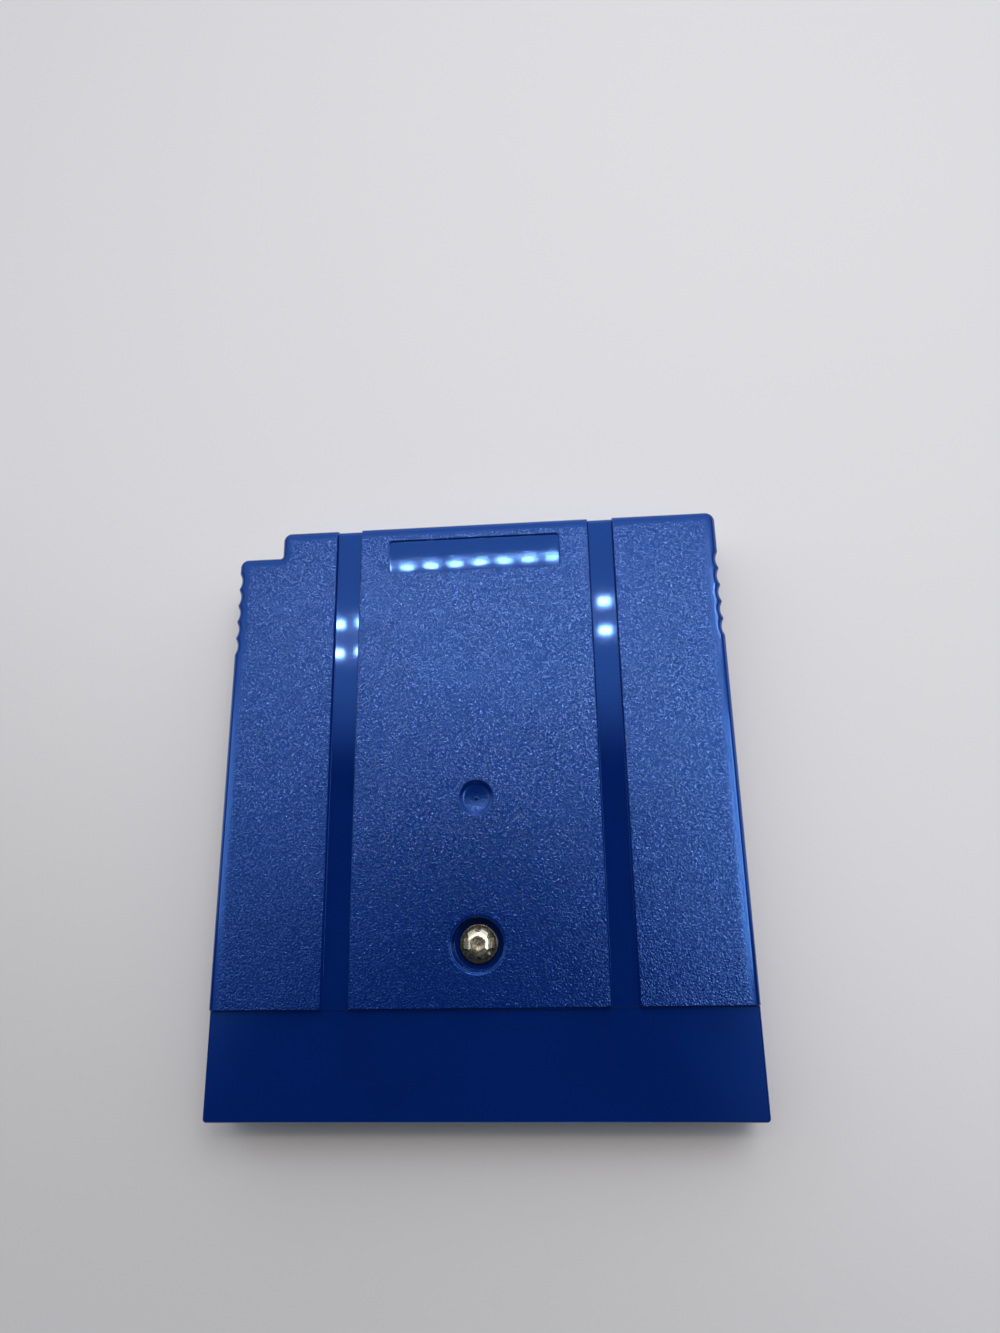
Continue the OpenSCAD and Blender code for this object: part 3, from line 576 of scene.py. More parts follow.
def shell_face(shape, drawing, surface, edge_r, finish, up, wells=()):
    """The outer face of a shell over a plan. Returns the plan's points, heights and triangles."""
    for d in [0] + RING_IN + GRAIN_IN:
        drawing.line(outline(d), closed=True)

    def keep(mid):
        good = inside_line(mid, OUTLINE)
        for cx, cy, r in wells:
            good &= np.hypot(mid[:, 0] - cx, mid[:, 1] - cy) > r
        return good

    xy, tris = drawing.triangles(keep)
    x, y = xy.T
    near = near_outline(xy, FADE_BAND)
    d = np.full(len(xy), FAR)
    inward = np.zeros((len(xy), 2))
    d[near], inward[near] = from_outline(xy[near])
    drop, slope = rounded_drop(d, edge_r(y))
    z = surface(x, y) - drop
    gx = (surface(x + GRAD_STEP, y) - surface(x - GRAD_STEP, y)) / (2 * GRAD_STEP)
    gy = (surface(x, y + GRAD_STEP) - surface(x, y - GRAD_STEP)) / (2 * GRAD_STEP)
    grad = np.column_stack((gx, gy)) + slope[:, None] * inward
    for cx, cy, r in wells:
        away = xy - [cx, cy]
        rho = np.linalg.norm(away, axis=1)
        well_drop, well_slope = rounded_drop(rho - r, WELL_BEVEL)
        z = z - well_drop
        grad = grad + well_slope[:, None] * away / rho[:, None]
    normals = np.column_stack((-grad, np.ones(len(xy))))
    side = d < 1e-4
    normals[side] = np.column_stack((-inward[side], np.zeros(side.sum())))
    normals[:, 2] *= up
    faces = tris if up > 0 else tris[:, ::-1]
    shape.add(np.column_stack((xy, up * z)), normals, faces, finish(x, y, d, z))
    return xy, up * z, tris


def edge_columns(xy, inward, heights, base, up, seam):
    """Rings of a side wall, from heights to a rounded seam at base. up is 1 on the rear shell."""
    out = np.column_stack((-inward, 0 * heights))
    rings = [np.column_stack((xy, heights))]
    normals = [out]
    for a in QUARTER:
        inset = xy + inward * seam * (1 - math.cos(a))
        z = base + up * seam * (1 - math.sin(a))
        rings.append(np.column_stack((inset, np.full(len(xy), z))))
        normals.append(out * math.cos(a) + np.array([0, 0, -up * math.sin(a)]))
    return rings, normals


def side_wall(shape, xy, z, loop, up, slot_z):
    """The outer side of a shell, from its face to the joint, with the opening for the socket left out."""
    p = xy[loop]
    heights = z[loop]
    inward = from_outline(p)[1]
    at_end = np.abs(p[:, 1] - END_Y) < 1e-3
    mid_x = (p[:, 0] + np.roll(p[:, 0], -1)) / 2
    slot = at_end & np.roll(at_end, -1) & (np.abs(mid_x) < SLOT_W / 2)
    n = len(p)
    first = next(i for i in range(n) if slot[i - 1] and not slot[i])
    order = (np.arange(n) + first) % n
    plain = [i for i in order if not slot[i]]
    opened = [i for i in order if slot[i]]
    for run, base, seam in ((plain, JOINT_Z, SEAM_ROUND), (opened, slot_z, SLOT_ROUND)):
        k = np.array(run + [(run[-1] + 1) % n])
        rings, normals = edge_columns(p[k], inward[k], heights[k], base, up, seam)
        shape.strip(rings, normals, closed=False, flip=up > 0)


def joint_face(shape, inset, facing):
    """The flat face where the two shells meet, from the seam in to the rebate or lip."""
    drawing = Drawing()
    outer = outline(SEAM_ROUND)
    drawing.line(outer, closed=True)
    a = HALF_W - inset
    b = HALF_H - inset
    notch_x = NOTCH_X + inset
    notch_y = NOTCH_Y - inset
    inner = np.array([(a, -b), (a, b), (notch_x, b), (notch_x, notch_y), (-a, notch_y), (-a, -b)])
    drawing.line(inner, closed=True)
    drawing.across([-SLOT_W / 2, SLOT_W / 2], END_Y - 1, END_Y + 3)

    def keep(mid):
        in_slot = (np.abs(mid[:, 0]) < SLOT_W / 2) & (mid[:, 1] < LAND_Y)
        return inside_line(mid, outer) & ~inside_line(mid, inner) & ~in_slot

    xy, tris = drawing.triangles(keep)
    points = np.column_stack((xy, np.full(len(xy), JOINT_Z)))
    shape.add(points, np.tile([0, 0, facing], (len(xy), 1)), tris if facing > 0 else tris[:, ::-1])


def well_wall(shape, rim, rim_z):
    """The screw's well, its seat and the hole in it."""
    away = rim - [0, SCREW_Y]
    out = away / np.linalg.norm(away, axis=1)[:, None]
    rows = [(WELL_D / 2, rim_z, 0)]
    for a in QUARTER:
        rows.append((WELL_D / 2 - WELL_FOOT * (1 - math.cos(a)), SEAT_Z + WELL_FOOT * (1 - math.sin(a)), a))
    rows.append((HOLE_D / 2, SEAT_Z, math.pi / 2))
    rings = []
    normals = []
    for r, z, a in rows:
        rings.append(np.column_stack((out * r + [0, SCREW_Y], np.full(len(rim), z))))
        normals.append(np.column_stack((-out * math.cos(a), np.full(len(rim), math.sin(a)))))
    shape.strip(rings, normals, flip=True)


def cad_inside(node, is_outer):
    """Triangles of a CAD node that lie inside the case, as points in millimetres."""
    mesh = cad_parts[node].data
    mesh.calc_loop_triangles()
    co = np.array([v.co for v in mesh.vertices], float) / MM
    tris = co[np.array([t.vertices for t in mesh.loop_triangles], int)]
    return tris[~is_outer(tris)]


def on_outline(tris):
    """Which triangles lie on the outer side of the case."""
    flat = tris[:, :, :2].reshape(-1, 2)
    near = near_outline(flat, SKIN)
    gap = np.full(len(flat), FAR)
    gap[near] = from_outline(flat[near])[0]
    return gap.reshape(-1, 3).max(axis=1) < ON_OUTLINE


def at_joint(tris):
    return (tris[:, :, 2].max(axis=1) < JOINT_Z + NEAR) & (tris[:, :, 2].min(axis=1) > JOINT_Z - NEAR)


def reaches_out(tris, side_inset, end_inset):
    """Which triangles reach past insets from the long sides or from the ends."""
    past_side = np.abs(tris[:, :, 0]).max(axis=1) > HALF_W - side_inset - NEAR
    return past_side | (np.abs(tris[:, :, 1]).max(axis=1) > HALF_H - end_inset - NEAR)


def rear_is_outer(tris):
    """Which triangles of the rear shell's CAD mesh are on its outside, its joint or in its well."""
    up_face = tris[:, :, 2].max(axis=1) > CEILING_Z + 2 * NEAR
    wide = reaches_out(tris, REBATE, SIDE_WALL) | (tris[:, :, 1].max(axis=1) > NOTCH_Y - 1)
    rho = np.hypot(tris[:, :, 0], tris[:, :, 1] - SCREW_Y).max(axis=1)
    in_well = (rho < WELL_D / 2 + NEAR) & (tris[:, :, 2].min(axis=1) > SEAT_Z - NEAR)
    return up_face | (at_joint(tris) & wide) | on_outline(tris) | in_well


def front_is_outer(tris):
    """Which triangles of the front shell's CAD mesh are on its outside or its joint."""
    down_face = tris[:, :, 2].max(axis=1) < SKIN
    at_notch = tris[:, :, 0].min(axis=1) < NOTCH_X + LIP_END + NEAR
    at_notch &= tris[:, :, 1].max(axis=1) > NOTCH_Y - LIP_END - NEAR
    wide = reaches_out(tris, LIP_END, LIP_END) | at_notch
    return down_face | (at_joint(tris) & wide) | on_outline(tris)


def rear_plan():
    """The plan of the rear face: channels, land, bare recess, gate dimple and screw well."""
    drawing = Drawing()
    lines = [CHANNEL_X + s * (CHANNEL_W / 2 + w) for s in (-1, 1) for w in CHANNEL_LINES]
    drawing.across([s * v for s in (-1, 1) for v in lines], LAND_Y - 0.4, HALF_H + 1)
    drawing.along([LAND_Y + s for s in LAND_LINES], -HALF_W - 1, HALF_W + 1)
    drawing.slot_ends()
    drawing.round_rects(0, PLATE_Y, PLATE_W, PLATE_H, PLATE_R, PLATE_LINES)
    for r in DIMPLE_RINGS:
        drawing.circle(0, DIMPLE_Y, r)
    for q in WELL_RINGS:
        drawing.circle(0, SCREW_Y, WELL_D / 2 + q, WELL_STEPS)
    drawing.plain_grid()
    return drawing


def rear_shell():
    shape = Shape()
    wells = [(0, SCREW_Y, WELL_D / 2)]
    xy, z, tris = shell_face(shape, rear_plan(), rear_surface, rear_edge_r, rear_finish, 1, wells)
    loops = border_loops(tris)
    side_wall(shape, xy, z, loops[0], 1, LAND_CEILING_Z)
    well_wall(shape, xy[loops[1]], CASE_T - WELL_RIM_D - WELL_BEVEL)
    joint_face(shape, REBATE, -1)
    shape.add_triangles(cad_inside("rear_shell", rear_is_outer))
    return shape.make("rear_shell_form")


def front_plan():
    """The plan of the front face: label recess, pill, arrow and the ends of the grip grooves."""
    drawing = Drawing()
    drawing.round_rects(0, LABEL_MID_Y, LABEL_W, LABEL_H, LABEL_R, FRONT_LINES)
    drawing.round_rects(0, GRIP_MID_Y, PILL_W, PILL_H, PILL_H / 2 - LEAST_R, FRONT_LINES)
    for g in ARROW_LINES:
        top = ARROW_Y + ARROW_H + g
        tip = ARROW_Y - g * ARROW_SIDE / (ARROW_W / 2)
        half = (top - tip) * (ARROW_W / 2) / ARROW_H
        drawing.line([(0, tip), (half, top), (-half, top)], closed=True)
    grooves = np.arange(GRIP_LAST_Y - 1.3, GRIP_Y + 1.31, GRIP_STEP)
    inner = HALF_W - GRIP_FRONT_L
    for s in (-1, 1):
        drawing.along(grooves, s * (inner - 0.2), s * (HALF_W + 1))
        drawing.across([s * (inner + q) for q in RAMP_LINES], grooves[0], grooves[-1])
        drawing.across([s * (HALF_W - q) for q in GRIP_LINES], grooves[0], grooves[-1])
    drawing.slot_ends()
    drawing.plain_grid()
    return drawing


def front_shell():
    shape = Shape()
    xy, z, tris = shell_face(shape, front_plan(), front_surface, front_edge_r, front_finish, -1)
    side_wall(shape, xy, z, border_loops(tris)[0], -1, FRONT_WALL)
    joint_face(shape, LIP_END, 1)
    shape.add_triangles(cad_inside("front_shell", front_is_outer))
    return shape.make("front_shell_form")


# The screw, turned round its own axis from the top of its head down to its tip

TURN = np.linspace(0, 2 * math.pi, SCREW_STEPS + 1)[:-1]
WAVE = np.column_stack((np.cos(TURN), np.sin(TURN)))


def ring(r, z):
    """Points round the screw's axis. r and z are each one number, or one for every point."""
    flat = WAVE * np.full(len(TURN), r)[:, None]
    return np.column_stack((flat, np.full(len(TURN), z)))


def lobe_radius():
    """Radius of the screw head all round: a circle with six round notches."""
    away = (TURN - math.pi / 2 + math.pi / 6) % (math.pi / 3) - math.pi / 6
    r = HEAD_NOTCH_D / 2
    side = HEAD_D / 2 * np.sin(np.abs(away))
    notch = HEAD_D / 2 * np.cos(away) - np.sqrt(np.maximum(r * r - side * side, 0))
    cut = np.where(side < r, notch, HEAD_D)
    return smooth_min(np.full_like(TURN, HEAD_D / 2 - 0.01), cut, LOBE_SOFT)


LOBES = lobe_radius()


def hexagon_gap(x, y, across):
    """Distance outside a hexagon with points at the notches, less than 0 inside it."""
    gap = np.full_like(x, -FAR)
    for k in range(6):
        a = math.radians(60 * k)
        gap = smooth_max(gap, x * math.cos(a) + y * math.sin(a) - across / 2, TABLE_CORNER_SOFT)
    return gap


def head_top(x, y):
    """Height of the screw head above its flange: a low hexagonal table, sloping lobes, a dished middle."""
    z = HEAD_H - smooth_max(0 * x, hexagon_gap(x, y, TABLE_W) * TABLE_SLOPE, TABLE_SOFT)
    return z - CROWN_DISH * (1 - ease(0.1, 0.95, np.hypot(x, y)))


def head_rings():
    rings = []
    for share in np.linspace(0.02, 1, 30):
        r = (LOBES - HEAD_SOFT) * share
        x, y = (WAVE * r[:, None]).T
        rings.append(ring(r, FLANGE_T + head_top(x, y)))
    top = rings[-1][:, 2]
    for a in QUARTER[1:]:
        rings.append(ring(LOBES - HEAD_SOFT + HEAD_SOFT * math.sin(a), top - HEAD_SOFT * (1 - math.cos(a))))
    for a in np.radians([0, 30, 60, 90]):
        rings.append(ring(LOBES + HEAD_FOOT * (1 - math.cos(a)), FLANGE_T + HEAD_FOOT * (1 - math.sin(a))))
    return rings


def flange_rings():
    rings = []
    flat_r = FLANGE_D / 2 - FLANGE_SOFT
    for r in (1.72, 1.8, 1.88, flat_r):
        rings.append(ring(np.maximum(r, LOBES + HEAD_FOOT + 0.01), FLANGE_T))
    for a in QUARTER[1:]:
        rings.append(ring(flat_r + FLANGE_SOFT * math.sin(a), FLANGE_T - FLANGE_SOFT * (1 - math.cos(a))))
    rings.append(ring(FLANGE_D / 2, 0))
    rings.append(ring(SCREW_D / 2 - 0.1, 0))
    return rings


def shank_rings():
    """The shank with its cut thread, and its tip."""
    rings = []
    for z in np.arange(-THREAD_STEP, TIP_L - SCREW_L, -THREAD_STEP):
        crest = np.abs(((z / THREAD_PITCH + TURN / (2 * math.pi)) % 1) * 2 - 1)
        depth = THREAD_D * ease(0.15, 0.95, crest) * ease(-0.05, -0.6, z)
        rings.append(ring(SCREW_D / 2 - depth, z))
    for r, rise in ((0.62, 0.12), (0.45, 0), (0.01, 0)):
        rings.append(ring(r, rise - SCREW_L))
    return rings


def screw():
    rings = head_rings() + flange_rings() + shank_rings()
    place = np.array([0, SCREW_Y, SEAT_Z])
    top = [[0, 0, rings[0][0, 2]]]
    tip = [[0, 0, -SCREW_L]]
    points = np.concatenate(rings + [top, tip]) + place
    n = SCREW_STEPS
    faces = []
    for k in range(len(rings) - 1):
        for i in range(n):
            a = k * n + i
            b = k * n + (i + 1) % n
            faces.append((a, a + n, b + n, b))
    last = (len(rings) - 1) * n
    for i in range(n):
        faces.append((len(points) - 2, i, (i + 1) % n))
        faces.append((len(points) - 1, last + (i + 1) % n, last + i))
    mesh = bpy.data.meshes.new("case_screw_form")
    mesh.from_pydata((points * MM).tolist(), [], faces)
    mesh.polygons.foreach_set("use_smooth", [True] * len(mesh.polygons))
    mesh.set_sharp_from_angle(angle=math.radians(50))
    mesh.update()
    return new_piece("case_screw_form", mesh)


# Materials, whose noises are measured in waves per millimetre

class Tree:
    """The shader nodes of a material or of the world."""

    def __init__(self, owner):
        owner.use_nodes = True
        self.nodes = owner.node_tree.nodes
        self.links = owner.node_tree.links

    def feed(self, value, socket):
        """Sets a socket to a number or a colour, or links it to another node's output."""
        if isinstance(value, bpy.types.NodeSocket):
            self.links.new(value, socket)
        elif isinstance(value, tuple):
            socket.default_value = (*value, 1)
        else:
            socket.default_value = value

    def maths(self, operation, a, b):
        node = self.nodes.new("ShaderNodeMath")
        node.operation = operation
        self.feed(a, node.inputs[0])
        self.feed(b, node.inputs[1])
        return node.outputs[0]

    def plus(self, a, b):
        return self.maths("ADD", a, b)

    def times(self, first, *others):
        for other in others:
            first = self.maths("MULTIPLY", first, other)
        return first

    def remap(self, value, before, after):
        """Maps one pair of numbers softly to another."""
        node = self.nodes.new("ShaderNodeMapRange")
        node.interpolation_type = "SMOOTHSTEP"
        self.feed(value, node.inputs["Value"])
        for name, number in zip(("From Min", "From Max", "To Min", "To Max"), before + after):
            node.inputs[name].default_value = number
        return node.outputs["Result"]

    def mix(self, factor, a, b):
        node = self.nodes.new("ShaderNodeMix")
        self.feed(factor, node.inputs["Factor"])
        self.feed(a, node.inputs[2])
        self.feed(b, node.inputs[3])
        return node.outputs[0]

    def mix_colours(self, factor, a, b):
        node = self.nodes.new("ShaderNodeMix")
        node.data_type = "RGBA"
        self.feed(factor, node.inputs["Factor"])
        self.feed(a, node.inputs[6])
        self.feed(b, node.inputs[7])
        return node.outputs[2]

    def split(self, vector):
        node = self.nodes.new("ShaderNodeSeparateXYZ")
        self.feed(vector, node.inputs[0])
        return node.outputs

    def coordinates(self, kind):
        return self.nodes.new("ShaderNodeTexCoord").outputs[kind]

    def object_mm(self):
        """Object coordinates in millimetres."""
        node = self.nodes.new("ShaderNodeVectorMath")
        node.operation = "SCALE"
        node.inputs["Scale"].default_value = 1 / MM
        self.feed(self.coordinates("Object"), node.inputs[0])
        return node.outputs[0]

    def attribute(self, name):
        node = self.nodes.new("ShaderNodeAttribute")
        node.attribute_name = name
        return node.outputs["Fac"]

    def noise(self, where, scale, detail, rough):
        node = self.nodes.new("ShaderNodeTexNoise")
        self.feed(scale, node.inputs["Scale"])
        self.feed(detail, node.inputs["Detail"])
        self.feed(rough, node.inputs["Roughness"])
        self.feed(where, node.inputs["Vector"])
        return node.outputs["Fac"]

    def bump(self, height, distance):
        node = self.nodes.new("ShaderNodeBump")
        self.feed(distance, node.inputs["Distance"])
        self.feed(1.0, node.inputs["Strength"])
        self.feed(height, node.inputs["Height"])
        return node.outputs["Normal"]


def new_material(name):
    material = bpy.data.materials.new(name)
    tree = Tree(material)
    return material, tree, tree.nodes["Principled BSDF"].inputs


BLUE = (0.0006, 0.0125, 0.115)
BLUE_CLOUD = (0.0008, 0.0145, 0.128)
SHEEN_TINT = (0.02, 0.24, 1.0)
# Painted shade for the screw's flange, which sits deep in its well
ROOT_SHADE = (0.17, 0.165, 0.14)
MIDDLING = (0.3, 0.7)


def case_plastic():
    """Blue plastic: spark-eroded grain on the highest faces, smooth gloss in the channels and at edges."""
    material, tree, shader = new_material("case_plastic")
    mm = tree.object_mm()
    grained = tree.attribute("grain")
    matt = tree.attribute("matt")
    coarse = tree.noise(mm, scale=4.5, detail=1.0, rough=0.6)
    fine = tree.noise(mm, scale=9.5, detail=1.0, rough=0.55)
    grain = tree.plus(coarse, tree.times(fine, 0.4))
    cloud = tree.noise(mm, scale=0.12, detail=3.0, rough=0.5)
    smudge = tree.noise(mm, scale=0.45, detail=4.0, rough=0.6)
    spark = tree.noise(mm, scale=4.7, detail=2.0, rough=0.7)
    spread = (0.36, 0.64)
    colour = tree.mix_colours(tree.remap(cloud, (0.35, 0.65), (0, 1)), BLUE, BLUE_CLOUD)
    tree.feed(colour, shader["Base Color"])
    rough = tree.remap(grain, (0.4, 1.0), (0.112, 0.155))
    tree.feed(tree.mix(matt, tree.remap(smudge, MIDDLING, (0.036, 0.048)), rough), shader["Roughness"])
    tree.feed(2.3, shader["IOR"])
    tree.feed(SHEEN_TINT, shader["Specular Tint"])
    tree.feed(tree.mix(grained, 0.5, tree.remap(spark, spread, (0.27, 0.71))), shader["Specular IOR Level"])
    tree.feed(1.5, shader["Coat IOR"])
    tree.feed(tree.mix(grained, 0.35, tree.remap(spark, spread, (0.2, 0.8))), shader["Coat Weight"])
    tree.feed(tree.mix(matt, tree.remap(smudge, MIDDLING, (0.042, 0.056)), rough), shader["Coat Roughness"])
    height = tree.plus(tree.times(grain, grained), tree.times(smudge, 0.008))
    bumped = tree.bump(height, 0.00004)
    tree.feed(bumped, shader["Normal"])
    tree.feed(bumped, shader["Coat Normal"])
    return material


def metal(name, colour, rough, scale, distance, root=None):
    """Plated metal with fine tool marks, with painted shade below the height "root" where one is given."""
    material, tree, shader = new_material(name)
    mm = tree.object_mm()
    marks = tree.noise(mm, scale, detail=4.0, rough=0.6)
    darker = tuple(c * 0.8 for c in colour)
    tint = tree.mix_colours(tree.remap(marks, MIDDLING, (0, 1)), darker, colour)
    if root is not None:
        # Painted shade: the flange, low in the screw's well, is darkened by its height
        shade_height = tree.plus(tree.split(mm)["Z"], tree.times(marks, 0.2))
        tint = tree.mix_colours(tree.remap(shade_height, (root, root + 0.35), (0, 1)), ROOT_SHADE, tint)
    tree.feed(tint, shader["Base Color"])
    tree.feed(tree.remap(marks, MIDDLING, (rough * 0.8, rough * 1.3)), shader["Roughness"])
    tree.feed(1, shader["Metallic"])
    tree.feed(tree.bump(marks, distance), shader["Normal"])
    return material


def dull(name, colour, other, rough, scale, distance):
    """Moulded resin, laminate or ceramic with a fine grain."""
    material, tree, shader = new_material(name)
    grain = tree.noise(tree.object_mm(), scale, detail=3.0, rough=0.6)
    tree.feed(tree.mix_colours(tree.remap(grain, MIDDLING, (0, 1)), colour, other), shader["Base Color"])
    tree.feed(tree.remap(grain, MIDDLING, (rough * 0.85, rough * 1.15)), shader["Roughness"])
    tree.feed(tree.bump(grain, distance), shader["Normal"])
    return material


def dress(name, material):
    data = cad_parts[name].data
    data.materials.clear()
    data.materials.append(material)


# The three pieces that stand in for CAD nodes

plastic = case_plastic()
screw_nickel = metal("screw_nickel", (0.88, 0.84, 0.66), 0.23, 4.0, 0.0000008, FLANGE_TOP + 0.15)
for piece, node, slot, material in (
    (rear_shell(), "rear_shell", "case_plastic", plastic),
    (front_shell(), "front_shell", "case_plastic", plastic),
    (screw(), "case_screw", "screw_metal", screw_nickel),
):
    piece.data.materials.append(material)
    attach(piece, "root")
    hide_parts(node)

# The CAD nodes inside the case, which keep their own forms

epoxy = dull("chip_epoxy", (0.018, 0.018, 0.02), (0.026, 0.026, 0.028), 0.6, 9.0, 0.000008)
tin = metal("lead_tin", (0.72, 0.72, 0.73), 0.3, 9.0, 0.000003)
for chip in ("rom", "ram", "mapper", "monitor"):
    dress(chip + "_chip", epoxy)
    dress(chip + "_leads", tin)
laminate = dull("board_laminate", (0.012, 0.11, 0.045), (0.016, 0.14, 0.06), 0.35, 1.2, 0.000006)
dress("circuit_board", laminate)
dress("edge_contacts", metal("contact_gold", (0.83, 0.6, 0.22), 0.22, 6.0, 0.000002))
dress("coin_cell", metal("cell_steel", (0.7, 0.69, 0.66), 0.25, 5.0, 0.000003))
nickel = metal("tab_nickel", (0.62, 0.6, 0.55), 0.3, 5.0, 0.000003)
dress("positive_tab", nickel)
dress("negative_tab", nickel)
ceramic = dull("capacitor_ceramic", (0.3, 0.2, 0.11), (0.36, 0.25, 0.14), 0.5, 6.0, 0.000004)
dress("ceramic_capacitors", ceramic)
glaze = dull("resistor_glaze", (0.015, 0.015, 0.017), (0.03, 0.03, 0.03), 0.4, 6.0, 0.000003)
dress("resistors", glaze)
dress("small_part_ends", tin)
resin = dull("capacitor_resin", (0.55, 0.3, 0.03), (0.6, 0.36, 0.05), 0.45, 5.0, 0.000005)
dress("tantalum_capacitor", resin)
dress("tantalum_ends", tin)


# The table, the room and the camera, in metres

FLOOR_SIZE = 1.5
# The floor's colour with painted shade near the viewer, and its plain colour further off
FLOOR_SHADED_NEAR = (0.565, 0.56, 0.565)
FLOOR_FAR = (0.725, 0.72, 0.73)
CEILING_Z_M = 0.925
STRIP_ROWS = (0.321, 0.360)
STRIP_COUNT = 20
STRIP_X = 0.254
STRIP_PITCH = 0.031
STRIP_TURN = 0.047
STRIP_MID_X = 0.068
STRIP_SIZE = (0.014, 0.008)
STRIP_WATTS = 0.038
STRIP_COLOUR = (1, 0.74, 0.57)
WARM = (1, 0.9, 0.75)
CEILING_LEVEL = 0.93
ROOM_COLOUR = (0.925, 0.995, 1.075)

# The camera, from a perspective fit of the case's outline in the photo, which is 1333 pixels tall
PHOTO_TALL_PX = 1333
FOCAL_PX = 842.62
SENSOR_MM = 36
CAMERA_RIGHT = (0.99667805, -0.01771941, -0.0794914)
CAMERA_UP = (0.03895224, 0.96088347, 0.27420007)
CAMERA_BACK = (0.07152331, -0.27638556, 0.95838168)
CAMERA_AT_MM = (9.76421854, -12.02837178, 99.75328279)


def floor():
    """A pale table top under the case, with a painted shade that makes it a little darker near the viewer
    and to the left.
    """
    size = FLOOR_SIZE
    mesh = bpy.data.meshes.new("floor")
    corners = [(-size, -size, 0), (size, -size, 0), (size, size, 0), (-size, size, 0)]
    mesh.from_pydata(corners, [], [(0, 1, 2, 3)])
    piece = new_piece("floor", mesh)
    material, tree, shader = new_material("table_top")
    mm = tree.object_mm()
    fibre = tree.noise(mm, scale=0.5, detail=5.0, rough=0.6)
    place = tree.split(mm)
    away = tree.plus(place["Y"], tree.times(place["X"], 0.5))
    away = tree.plus(away, tree.times(fibre, 6))
    # Painted shade: the floor's colour darkens towards the viewer and the left
    pale = tree.mix_colours(tree.remap(away, (-75, 25), (0, 1)), FLOOR_SHADED_NEAR, FLOOR_FAR)
    tree.feed(pale, shader["Base Color"])
    tree.feed(0.55, shader["Roughness"])
    mesh.materials.append(material)


def lamp(name, place, size, watts, colour=(1, 1, 1)):
    """A flat lamp that shines straight down."""
    data = bpy.data.lights.new(name, "AREA")
    data.shape = "RECTANGLE"
    data.size, data.size_y = size
    data.energy = watts
    data.color = colour
    piece = new_piece(name, data)
    piece.location = place
    return piece


def strip_lamps():
    """Two rows of small lamps, whose reflections lie across the smooth channels."""
    for row, y in enumerate(STRIP_ROWS):
        for k in range(STRIP_COUNT):
            x = STRIP_X - STRIP_PITCH * k
            place = (x, y + STRIP_TURN * (x - STRIP_MID_X), CEILING_Z_M)
            lamp("strip_%d_%d" % (row, k), place, STRIP_SIZE, STRIP_WATTS, STRIP_COLOUR)


def side_lamps():
    """A low lamp for the dark parts, and two wide ones that only the gloss mirrors."""
    place = Vector((0.07, 0.11, 0.25))
    fill = lamp("fill", place, (0.12, 0.12), 0.22)
    fill.rotation_mode = "QUATERNION"
    fill.rotation_quaternion = (-place).to_track_quat("-Z", "Y")
    fill.visible_glossy = False
    shine = lamp("shine", (0.36, 0.065, CEILING_Z_M), (0.22, 0.3), 1.1, WARM)
    shine.visible_diffuse = False
    gleam = lamp("gleam", (-0.54, 0.11, CEILING_Z_M), (0.2, 0.28), 0.32, WARM)
    gleam.visible_diffuse = False


def room_directions(tree):
    """How far a direction leans across and along, both as shares of its height."""
    place = tree.split(tree.coordinates("Generated"))
    high = tree.maths("MAXIMUM", place["Z"], 0.05)
    return tree.maths("DIVIDE", place["X"], high), tree.maths("DIVIDE", place["Y"], high)


def open_ceiling(tree, across, along, outward):
    """How much of the ceiling shows past the photographer and the phone."""
    phone = tree.remap(along, (0.155, 0.285), (1, 0))
    phone = tree.times(phone, tree.remap(across, (-0.44, -0.32), (0, 1)))
    phone = tree.times(phone, tree.remap(across, (0.13, 0.29), (1, 0)))
    aside = tree.times(tree.maths("MINIMUM", outward, 0.32), 0.5)
    past_person = tree.remap(tree.plus(along, aside), (-0.08, 0.27), (0, 1))
    return tree.times(past_person, tree.maths("SUBTRACT", 1, phone))


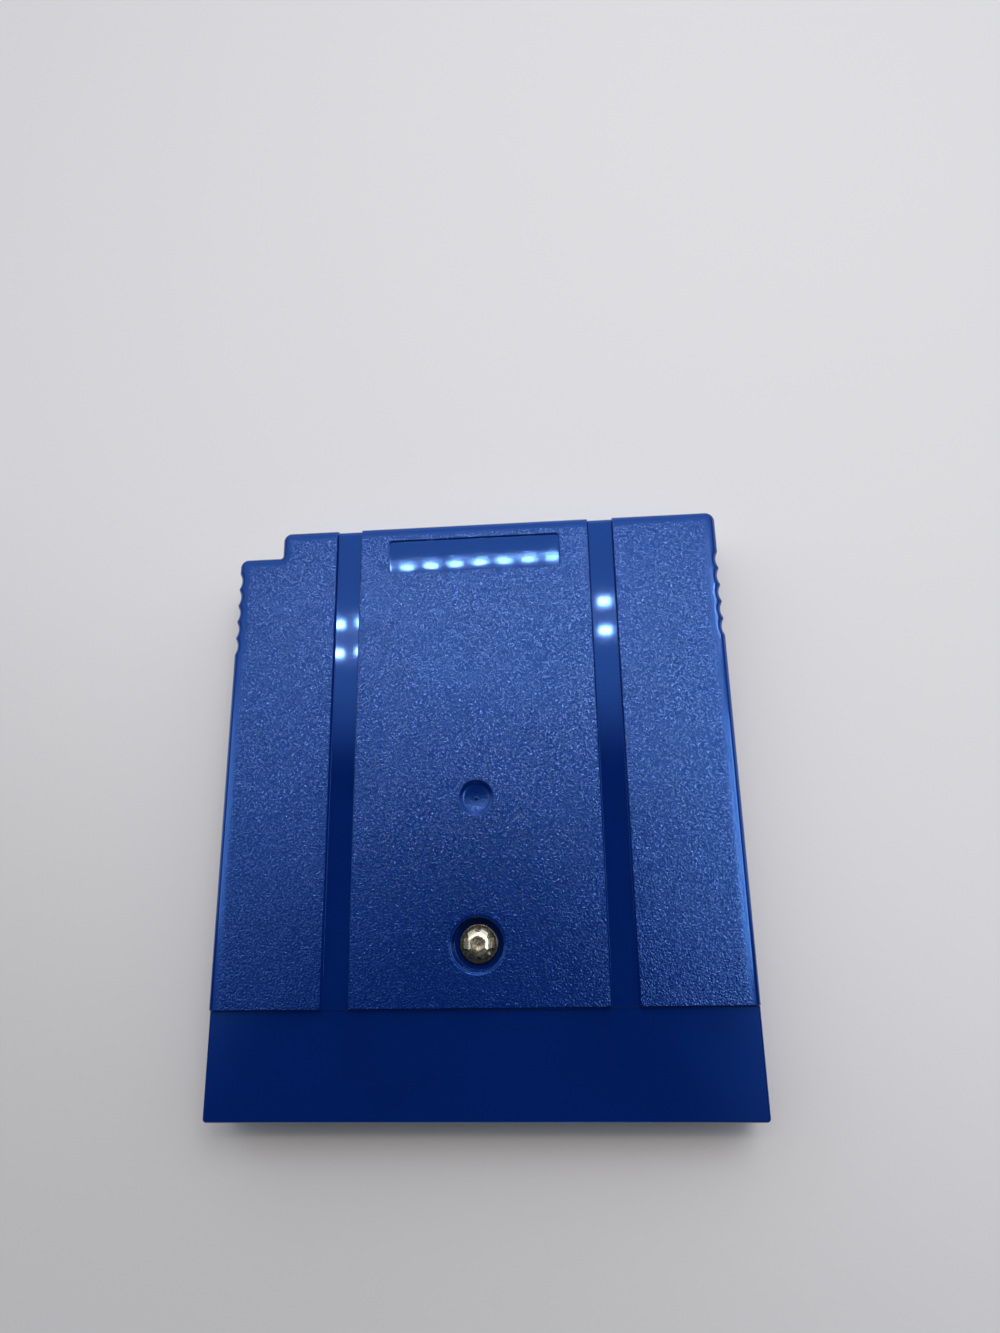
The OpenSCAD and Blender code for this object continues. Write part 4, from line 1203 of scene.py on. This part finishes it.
def gap_level(tree, across, along):
    """Light that comes past the photographer's right side."""
    gap = tree.times(tree.remap(across, (0.08, 0.3), (0, 0.3)), tree.remap(across, (0.5, 1.0), (1, 0)))
    gap = tree.times(gap, tree.remap(along, (-0.05, 0.1), (1, 0)))
    return tree.times(gap, tree.remap(along, (-0.8, -0.4), (0, 1)))


def room():
    """A pale soft room. The gloss mirrors duller side walls, and some light from low in front."""
    world = bpy.data.worlds.new("studio")
    bpy.context.scene.world = world
    tree = Tree(world)
    across, along = room_directions(tree)
    outward = tree.maths("ABSOLUTE", tree.plus(across, 0.1), 0)
    side = tree.remap(across, (-1.5, 1.5), (0.92, 1.1))
    level = tree.times(open_ceiling(tree, across, along, outward), tree.times(side, CEILING_LEVEL))
    level = tree.plus(level, tree.remap(along, (0.43, 0.75), (0.03, 0.34)))
    level = tree.plus(level, gap_level(tree, across, along))
    path = tree.nodes.new("ShaderNodeLightPath").outputs
    horizon = tree.remap(along, (-3.2, -1.4), (0.6, 0))
    level = tree.plus(level, tree.times(horizon, path["Is Glossy Ray"]))
    wall = tree.times(tree.remap(outward, (0.42, 0.75), (0, 0.7)), tree.remap(outward, (1.8, 3.5), (1, 0)))
    wall = tree.times(wall, path["Is Glossy Ray"])
    level = tree.times(level, tree.maths("SUBTRACT", 1, wall))
    background = tree.nodes["Background"].inputs
    tree.feed(tree.mix(path["Is Camera Ray"], level, CEILING_LEVEL), background["Strength"])
    tree.feed(ROOM_COLOUR, background["Color"])


def camera():
    data = bpy.data.cameras.new("camera")
    data.sensor_width = SENSOR_MM
    data.sensor_fit = "AUTO"
    data.lens = SENSOR_MM * FOCAL_PX / PHOTO_TALL_PX
    data.clip_start = 0.002
    data.clip_end = 50
    piece = new_piece("camera", data)
    turn = Matrix((CAMERA_RIGHT, CAMERA_UP, CAMERA_BACK)).transposed().to_4x4()
    piece.matrix_world = Matrix.Translation(Vector(CAMERA_AT_MM) * MM) @ turn
    bpy.context.scene.camera = piece


camera()
floor()
strip_lamps()
side_lamps()
room()
bpy.context.scene.view_settings.view_transform = "Standard"
